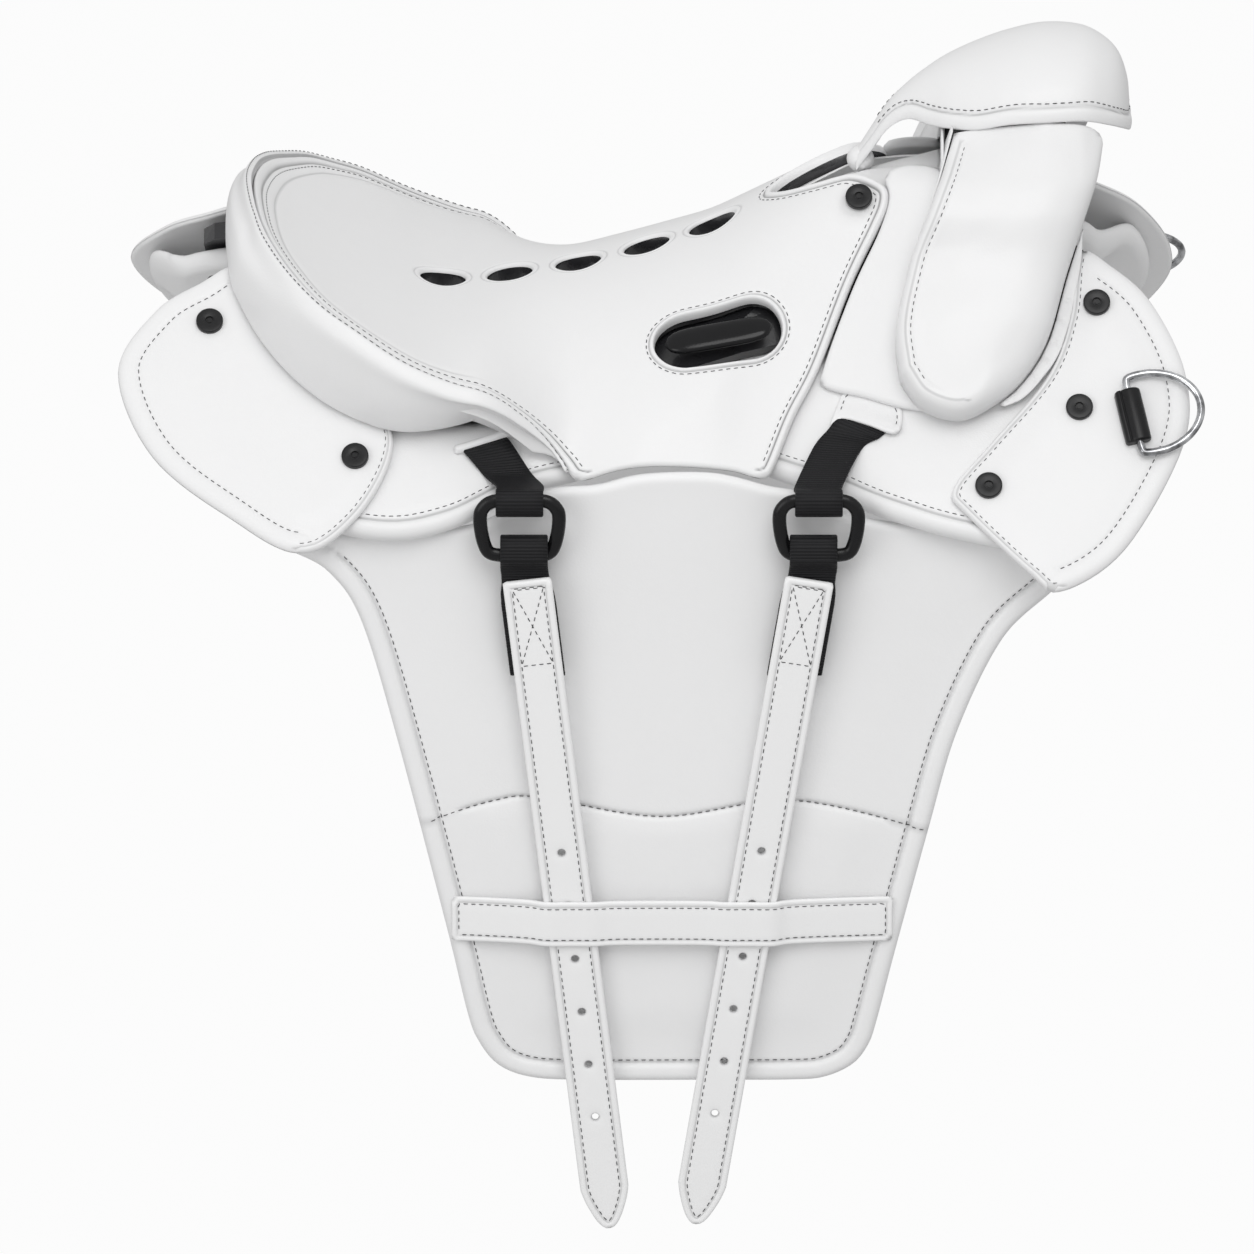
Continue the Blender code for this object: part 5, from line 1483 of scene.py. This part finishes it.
ring_black = plastic("ring_plastic", (0.003, 0.003, 0.0035), (0.009, 0.009, 0.010), 0.16, 1500)
RING_SHAPE = tenths(
    (0, 0), (120, 0), (182, -16), (222, -60), (232, -110), (226, -190), (208, -270), (180, -322),
    (120, -340), (0, -340),
)
outline = curve(np.vstack([RING_SHAPE, RING_SHAPE[-2:0:-1] * (-1, 1)]), 5)
# End, x of the slot and of the ring, how far down the form the slot and the panel's edge
# are, share of the way along that it runs on the panel, slant of its mouth
RIGS = (
    ("front", 0.133, 0.105, 0.192, 0.2045, 0.60, math.radians(25)),
    ("rear", -0.093, -0.071, 0.160, 0.184, 0.70, math.radians(-17)),
)
for end, slot_x, ring_x, slot_t, leave_t, straight, slant in RIGS:
    way = []
    for t in (slot_t - 0.004, slot_t - 0.001, slot_t + 0.004, (slot_t + leave_t) / 2, leave_t):
        s = np.clip((t - slot_t) / (leave_t - slot_t), -0.5, 1)
        lift = -0.0036 if t > slot_t else (-0.0060 if t > slot_t - 0.003 else -0.0110)
        way.append(spot_on(slot_x + (ring_x - slot_x) * straight * s, t, lift))
    way.append((ring_x, RIG_Y + 0.0095, RIG_Z + LOOP))
    for a in np.radians((90, 125, 160, 195, 230, 265, 300, 335, 352)):
        low = 0.0030 * max(-math.sin(a), 0) ** 0.5
        way.append((ring_x, RIG_Y + LOOP * math.cos(a), RIG_Z + LOOP * math.sin(a) - low))
    centres = curve(way, 5, closed=False)
    down = spot_on(slot_x, slot_t + 0.001) - spot_on(slot_x, slot_t)
    down /= np.linalg.norm(down)
    share = ease(np.arange(len(centres)), 8, 24)[:, None]
    across = (math.cos(slant) * FORWARD + math.sin(slant) * down) * (1 - share) + FORWARD * share
    web(end + "_web", centres, unit(across), WEB_HALF, stands_for=end + "_rig_web")
    points = [ring_x + outline[:, 0], np.full(len(outline), RIG_Y), RIG_Z + outline[:, 1]]
    ring = wire(np.stack(points, axis=1), np.array((0, 1.0, 0)), 0.0041, 16, 0.74)
    hangs = dict(body=end + "_ring", stands_for=end + "_ring", slot="ring_plastic")
    dressed(end + "_moulded_ring", [ring], [ring_black], **hangs)

# Billets: pointed straps of white leather, folded and stitched at both edges and
# boxed where they lap the web, with six punched holes each.

BILLET_HALF, BILLET_THICK, BILLET_FACE, BILLET_SEAM = 0.0145, 0.0040, -0.190, 0.0042
HOLES, HOLE_TOP, HOLE_PITCH, HOLE_HALF, LOOP_RISE = 6, 0.187, 0.034, 0.0021, 0.0055
BILLET_Z = RIG_Z - RING_DROP
BILLETS = (("front", 0.1020, math.radians(-9.24)), ("rear", -0.0684, math.radians(6.70)))
BILLET_END = tenths(
    (145, -4040), (118, -4135), (62, -4255), (0, -4300), (-62, -4255), (-118, -4135), (-145, -4040),
)
corners = tenths((-145, -150), (-135, -140), (135, -140), (145, -150))
billet_loop = even(np.vstack([corners, curve(BILLET_END, 6, closed=False)]), 0.0026, closed=True)
holes = [oval(0, -HOLE_TOP - HOLE_PITCH * k, turns(14), HOLE_HALF, HOLE_HALF) for k in range(HOLES)]


def billet_skin(p):
    edge = from_edge(p, billet_loop)
    lift = rounded(edge, 0.0014, BILLET_THICK / 2) + bead(edge, 0.0040, 0.00035)
    lift += groove(edge, BILLET_SEAM, 0.0005, 0.0004)
    for h in holes:
        d = from_edge(p, h)
        lift += rounded(d, 0.0007, BILLET_THICK / 2) - 0.0004 * bell(d, 0, 0.0022)
    return lift


BILLET_RINGS, HOLE_RINGS = (2, 6, 12, 20, 30, 37, 42, 47, 56), (2, 6, 11, 18, 28)
flat, faces, rim = cut_out(billet_loop, BILLET_RINGS, 0.0042, holes, HOLE_RINGS)
edge = from_edge(flat, billet_loop)
bore = np.min([from_edge(flat, h) for h in holes], axis=0)
lift = billet_skin(flat)
under = -BILLET_THICK - rounded(np.minimum(edge, bore), 0.0012, BILLET_THICK / 2)
# Painted shade along the edge seam and round the walls of the punched holes.
painted_shade = 0.35 * bell(edge, BILLET_SEAM, 0.0004) + 0.5 * bell(bore, 0, 0.0007)
box = [
    tenths((-92, -185), (92, -185)), tenths((-92, -670), (92, -670)),
    tenths((-92, -190), (92, -665)), tenths((92, -190), (-92, -665)),
]
for end, pivot_x, tilt in BILLETS:
    c, s = math.cos(tilt), math.sin(tilt)

    def billet_place(p, lift):
        u, v = p[:, 0], p[:, 1]
        along, down = pivot_x + u * c - v * s, BILLET_Z + u * s + v * c
        return np.stack([along, BILLET_FACE - lift + 0 * u, down], axis=1)

    shapes = [(*stuffed(flat, faces, rim, billet_place, lift, under), 0)]
    for line in [within(billet_loop, billet_loop, 0.0052)] + box:
        shapes.append((*sewn(billet_place, billet_skin, line), 1))
    hangs = dict(body=end + "_billet", stands_for=end + "_billet")
    dressed(end + "_billet_strap", shapes, [strap_hide, thread], painted_shade, **hangs)
    front = BILLET_FACE + BILLET_THICK + 0.0003 + WEB_THICK / 2
    back = front + WEB_THICK + 0.0003
    way = [(front, BILLET_Z - fall) for fall in (0.075, 0.045, 0.0125)]
    for a in np.radians((205, 180, 150, 120, 90, 60, 30, 0, -25)):
        rise = LOOP * math.sin(a) + LOOP_RISE * max(math.sin(a), 0) ** 0.5
        way.append((RIG_Y + LOOP * math.cos(a), BILLET_Z + rise))
    way += [(back, BILLET_Z - fall) for fall in (0.0125, 0.045, 0.075)]
    way = curve(way, 5, closed=False)
    down = np.minimum(way[:, 1] - (BILLET_Z - 0.008), 0)
    centres = np.stack([pivot_x - down * math.tan(tilt), way[:, 0], way[:, 1]], axis=1)
    half = WEB_HALF + 0.0022 * ease(-down, 0.006, 0.020)
    hangs = dict(body=end + "_billet", stands_for=end + "_billet_web")
    web(end + "_loop_web", centres, FORWARD, half, **hangs)

# Sweat flaps: two layers of leather over thin foam, with a rolled and stitched
# edge and a waved seam across, sewn along their top under the panels.

FLAP_THICK, FLAP_FACE, FLAP_FLARE, FLAP_TOP_Z = 0.0090, -0.1635, 0.0110, -0.034
FLAP_SEAM = 0.0124
FLAP_EDGE = tenths(
    (-2090, -600), (-1850, -770), (-1650, -1080), (-1420, -1890), (-1150, -3000), (-1030, -3540),
    (-965, -3720), (-850, -3870), (-660, -3950), (-350, -3970), (400, -3970), (900, -3968),
    (1100, -3950), (1270, -3868), (1365, -3740), (1415, -3580), (1520, -3140), (1710, -2380),
    (1880, -1760), (2150, -1180), (2480, -840),
)
FLAP_TOP = tenths(
    (2380, -670), (1800, -520), (1520, -480), (1300, -444), (1120, -388), (980, -295), (760, -252),
    (560, -196), (400, -168), (150, -166), (-50, -186), (-250, -240), (-520, -268), (-700, -362),
    (-860, -438), (-1050, -500), (-1500, -505),
)
SEAM_WAVE = tenths(
    (-1380, -2360), (-1220, -2294), (-860, -2179), (-600, -2160), (120, -2281), (900, -2179),
    (1690, -2358), (1780, -2375),
)
FLAP_RINGS = (3, 9, 18, 30, 45, 60, 75, 90, 104, 114, 121, 128, 136, 148, 165, 190, 225)
SEAM_REACHES = (0, 6, 13, 22, 38, 60, 90, 125)


def flap_place(p, lift):
    """Leaving the panel's edge and flaring out until it hangs plumb."""
    x, z = p[:, 0], p[:, 1]
    face = FLAP_FACE - FLAP_THICK / 2 - FLAP_FLARE * ease(FLAP_TOP_Z - z, 0.0, 0.246)
    return np.stack([x, face - lift + 0 * x, z], axis=1)


flap_line = curve(np.vstack([FLAP_EDGE, FLAP_TOP]))
flap_roll = flap_line[: 8 * (len(FLAP_EDGE) - 1) + 1]
flap_loop = even(flap_line, 0.0042, closed=True)
seam = curve(SEAM_WAVE, closed=False)


def flap_skin(p):
    edge, roll, wave = from_edge(p, flap_loop), away(p, flap_roll), away(p, seam)
    below = ease(np.interp(p[:, 0], seam[:, 0], seam[:, 1]) - p[:, 1], 0.0, 0.012)
    inner = ease(roll, 0.014, 0.05)
    full = 0.0018 * inner * ease(edge, 0.01, 0.05) * (0.35 + 0.65 * below)
    lift = rounded(edge, 0.0050, FLAP_THICK / 2) + bead(roll, 0.0118, 0.0019)
    lift += groove(roll, FLAP_SEAM, 0.0012, 0.0013) + full
    lift += groove(wave, 0, 0.0015, 0.0015) * inner**0.3
    return lift


cut = cut_out(flap_loop, FLAP_RINGS, 0.0052, lines=[seam], reaches=SEAM_REACHES)
flat = cut[0]
# Painted shade in the groove inside the rolled edge and along the waved seam.
painted_shade = 0.30 * bell(away(flat, flap_roll), FLAP_SEAM, 0.0006) + 0.25 * bell(away(flat, seam), 0, 0.0008)
under = -FLAP_THICK - rounded(from_edge(flat, flap_loop), 0.0050, FLAP_THICK / 2)
shapes = [
    (*stuffed(*cut, flap_place, flap_skin(flat), under), 0),
    (*sewn(flap_place, flap_skin, within(flap_roll, flap_loop, 0.0140)), 1),
    (*sewn(flap_place, lambda p: flap_skin(p) + 0.0004, seam[7:-8]), 1),
]
off = piece("off_flap_cushion", shapes, [soft_hide, thread], painted_shade)
near = near_copy(off, "near_flap_cushion")
for side, way, made in (("off", -1, off), ("near", 1, near)):
    top, foot = (0, way * 0.1640, -0.018), (0, way * 0.1690, -0.056)
    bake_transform(made)
    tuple(top)
    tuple(foot)
    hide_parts(f"{side}_sweat_flap")

# Keeper straps: a flat leather strap across each sweat flap, stitched at both
# edges and sewn down beside the billets, which pass behind it.

KEEPER_Z, STRAP_HALF, STRAP_THICK, STRAP_SEAM = -0.291, 0.0140, 0.0024, 0.0034
on_flap = flap_place(np.array(((0, KEEPER_Z),)), 0.0)[0, 1] - 0.0026 - STRAP_THICK / 2
over = BILLET_FACE - 0.0008 - STRAP_THICK / 2
between = (on_flap + over) / 2
sag = over + (on_flap - over) * 0.22
reach = BILLET_HALF + 0.0030
rear, front = (x + (BILLET_Z - KEEPER_Z) * math.tan(tilt) for _, x, tilt in BILLETS[::-1])
way = [(-0.1120, on_flap), (-0.1020, on_flap), (rear - reach - 0.010, between)]
way += [(rear - reach + 0.003, over), (rear, over), (rear + reach - 0.003, over)]
way += [(rear + reach + 0.012, sag), (front - reach - 0.012, sag)]
way += [(front - reach + 0.003, over), (front, over), (front + reach - 0.003, over)]
way += [(front + reach + 0.010, between), (0.1400, on_flap), (0.1500, on_flap)]
way = curve(way, 6, closed=False)
run, outs = run_of(way), -left_of(way)
long = run[-1]
corners = [(0, -0.0130), (0.001, -STRAP_HALF), (long - 0.001, -STRAP_HALF), (long, -0.0130)]
strap_loop = np.array(corners + [(x, -z) for x, z in corners[::-1]])
strap_loop = even(strap_loop, 0.0028, closed=True)


def strap_place(p, lift):
    """Along the flap and over the billets, lift towards the outside."""
    spot, out = at_run(p[:, 0], run, way), at_run(p[:, 0], run, outs)
    return np.column_stack([spot + out * np.reshape(lift, (-1, 1)), KEEPER_Z + p[:, 1]])


def strap_skin(p):
    edge = from_edge(p, strap_loop)
    lift = rounded(edge, 0.0010, STRAP_THICK / 2) + STRAP_THICK / 2
    return lift + bead(edge, 0.0030, 0.00025) + groove(edge, STRAP_SEAM, 0.0005, 0.0003)


def strap_layers(p, edge):
    under = -STRAP_THICK / 2 - rounded(edge, 0.0010, STRAP_THICK / 2)
    # The third layer is painted shade in the stitch groove along its edges.
    return strap_skin(p), under, 0.3 * bell(edge, STRAP_SEAM, 0.0004)


STRAP_RINGS = (2, 5, 10, 16, 23, 30, 34, 38, 46)
rows = [sewn(strap_place, strap_skin, within(strap_loop, strap_loop, 0.0042))]
sheet(
    "cross_strap", strap_loop, STRAP_RINGS, 0.0042, strap_place, strap_layers, [strap_hide, thread], rows,
    body="flap", stands_for="keeper_strap",
)
